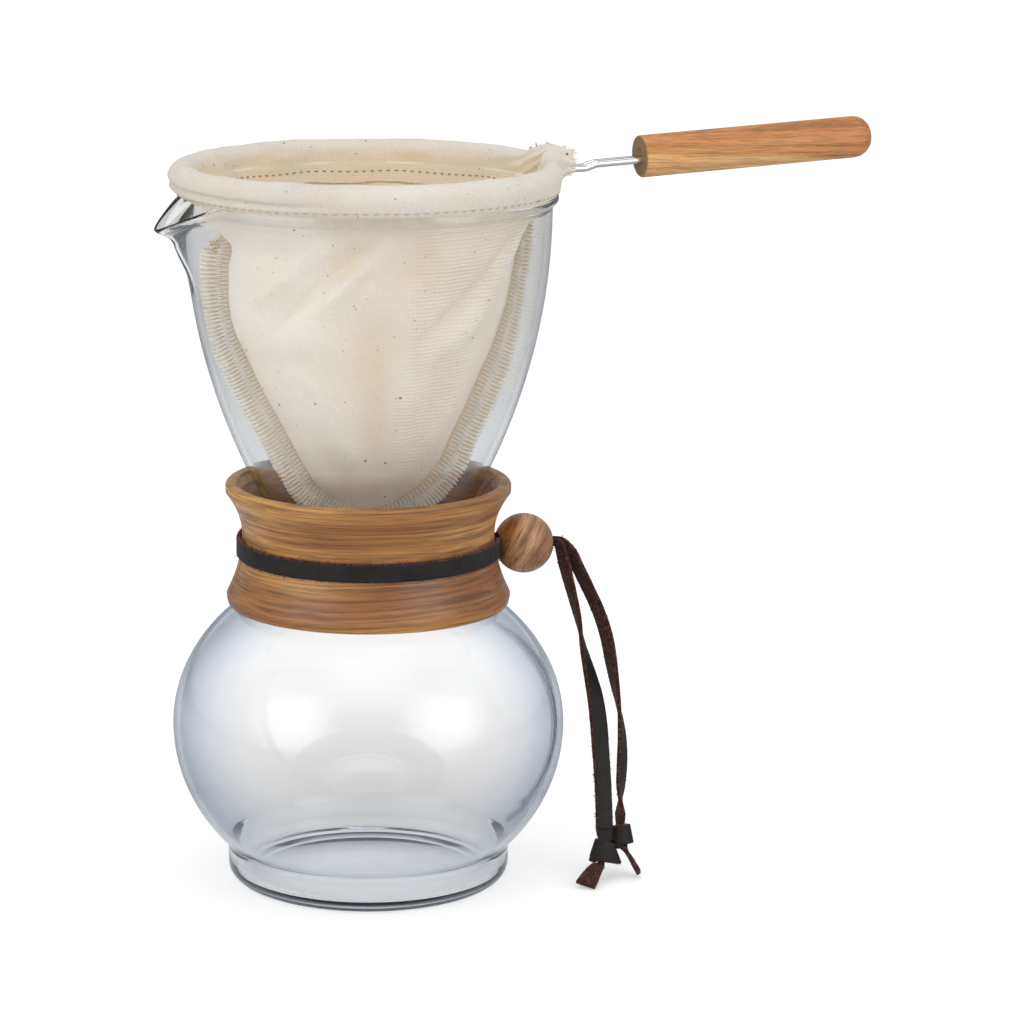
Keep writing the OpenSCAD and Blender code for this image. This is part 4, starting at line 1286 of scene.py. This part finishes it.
def make_floor():
    """A matte floor that glows towards the camera, less so where it is seen through glass, where
    it has a painted shadow near the pot and painted shade further off; mirrored, it is bluish grey
    and has a painted glow near the foot.
    """
    material, n = new_material("floor_pale")
    direct, through, mirrored, inside = background(n)
    grain = n.noise(n.place(), 3, 2, 0.5)
    colour = n.mix(mirrored, n.ramp(grain, [(0.3, 0.80), (0.7, 0.82)]), ROOM_FLOOR)
    matte = n.add("BsdfDiffuse", {"Color": colour})
    far = n.add("VectorMath", {0: n.place()}, operation="LENGTH").outputs["Value"]
    glow = n.remap(far, 0.2, 1.8, 0.37, 0.62)
    # Painted shadow: seen through glass, the floor is darker near the pot
    under = n.ramp(n.times(far, 4.0), [(0.1, 0.0), (0.2, 0.34), (0.36, 0.31), (0.7, 0.16),
                                       (1.0, 0.06)])
    # Painted light: mirrored, the floor glows close round the foot
    painted_glow_near_foot = n.remap(far, 0.04, 0.085, 0.5, 0.0)
    # Painted shade: seen through glass, the floor is darker further off
    painted_shade_far_off = n.remap(far, 0.3, 0.6, 0.0, 0.36)
    strength = n.minus(n.times(n.plus(direct, through), glow), n.times(through, under))
    strength = n.plus(strength, n.times(inside, 0.2))
    strength = n.plus(strength, n.times(mirrored, painted_glow_near_foot))
    strength = n.minus(strength, n.times(through, painted_shade_far_off))
    light = n.add("Emission", {"Color": (1, 1, 1, 1), "Strength": strength})
    n.add("OutputMaterial", {"Surface": n.add("AddShader", {0: matte, 1: light})})
    mesh = bpy.data.meshes.new("floor")
    size = 6.0
    mesh.from_pydata([(-size, -size, 0), (size, -size, 0), (size, size, 0), (-size, size, 0)],
                     [], [(0, 1, 2, 3)])
    mesh.materials.append(material)
    floor = new_object("floor", mesh)


def softbox(name, place, target, size, power):
    """A lamp whose light falls off softly towards its edges."""
    data = bpy.data.lights.new(name, "AREA")
    data.shape, data.size, data.size_y = "RECTANGLE", size[0], size[1]
    data.energy = power
    data.use_nodes = True
    n = Nodes(data.node_tree)
    across = n.add("SeparateXYZ", {0: n.add("NewGeometry").outputs["Parametric"]})
    falls = []
    for k in (0, 1):
        off = n.math("ABSOLUTE", n.minus(across.outputs[k], 0.5))
        falls.append(n.remap(off, 0.5, 0.05, interpolation_type="SMOOTHSTEP"))
    strength = n.times(n.times(*falls), 2.7)
    n.add("OutputLight", {0: n.add("Emission", {"Strength": strength})})
    lamp = new_object(name, data)
    lamp.location = place
    direction = Vector(target) - Vector(place)
    lamp.rotation_euler = direction.to_track_quat("-Z", "Y").to_euler()


def make_studio():
    world = bpy.data.worlds.new("studio")
    bpy.context.scene.world = world
    world.use_nodes = True
    n = Nodes(world.node_tree)
    direct, through, mirrored, inside = background(n)
    straight = n.plus(n.plus(direct, through), inside)
    strength = n.plus(n.times(straight, 0.44), 0.56)
    colour = n.mix(mirrored, (1, 1, 1, 1), ROOM_SKY)
    n.add("OutputWorld", {"Surface": n.add("Background", {"Color": colour,
                                                          "Strength": strength})})
    softbox("key", (-0.93, -0.73, 0.5), (0, 0, 0.1), (1.8, 1.7), 5.8)
    softbox("fill", (0.93, -0.73, 0.48), (0, 0, 0.1), (1.6, 1.6), 5.2)
    softbox("front", (-0.05, -0.75, 1.15), (0, 0, 0.12), (2.0, 1.5), 3.9)
    softbox("top", (0.1, 0.15, 1.2), (0, 0, 0.1), (1.0, 1.0), 2.6)
    bpy.context.scene.view_settings.view_transform = "Standard"


make_camera()
leathers = make_cords()
make_pot()
make_collar()
make_loop(leathers)
GOLD_TONE_AND_SHADE = "#ecd8b5"
bag_cloth = cotton_material("cotton_bag", ("#f8eedc", "#fffaf0", GOLD_TONE_AND_SHADE), shaded=True)
# The hem's cotton is a darker, greyer copy of the bag's: painted shade
shaded_hem_cloth = cotton_material("cotton_hem_shaded", ("#d9d2c6", "#e3ded5", GOLD_TONE_AND_SHADE), shaded=True)
seam_cloth = cotton_material("cotton_seam", ("#ecd9b6", "#f7e8cb", GOLD_TONE_AND_SHADE), specks=False)
cream_thread = thread_material("thread_cream", "#fbf1de", "#fffcf5")
tan_thread = thread_material("thread_tan", "#bb9a68", "#dcc296")
dark_thread = thread_material("thread_dark", "#9a6432", "#bb8348")
front = panel("bag_front", -1, CREASES_FRONT, 1.0, bag_cloth, "cloth_front")
back = panel("bag_back", 1, CREASES_BACK, 2.3, bag_cloth, "cloth_back")
seam = make_seam(seam_cloth, cream_thread, tan_thread)
hem, hem_points, hem_away = make_hem(shaded_hem_cloth)
hem_stitches(hem_points, hem_away, tan_thread, dark_thread)
frayed_ends(hem_points, cream_thread, tan_thread)
dress("hoop_wire", steel_material())
dress("handle", wood_material("wood_handle", (HANDLE_AZ, math.radians(-2.6)),
                              ("#a0652f", "#da9c58", "#e9b87c", "#cb854e"), seed=0.11,
                              end="#86693f"))
dress("thong_bead", wood_material("wood_bead", (0.9, 1.0),
                                  ("#74462a", "#ae7848", "#d6a474", "#8d5836"), long=0.9,
                                  seed=0.2, round_share=0.5, gloss=0.32, coat=0.4))
make_floor()
make_studio()
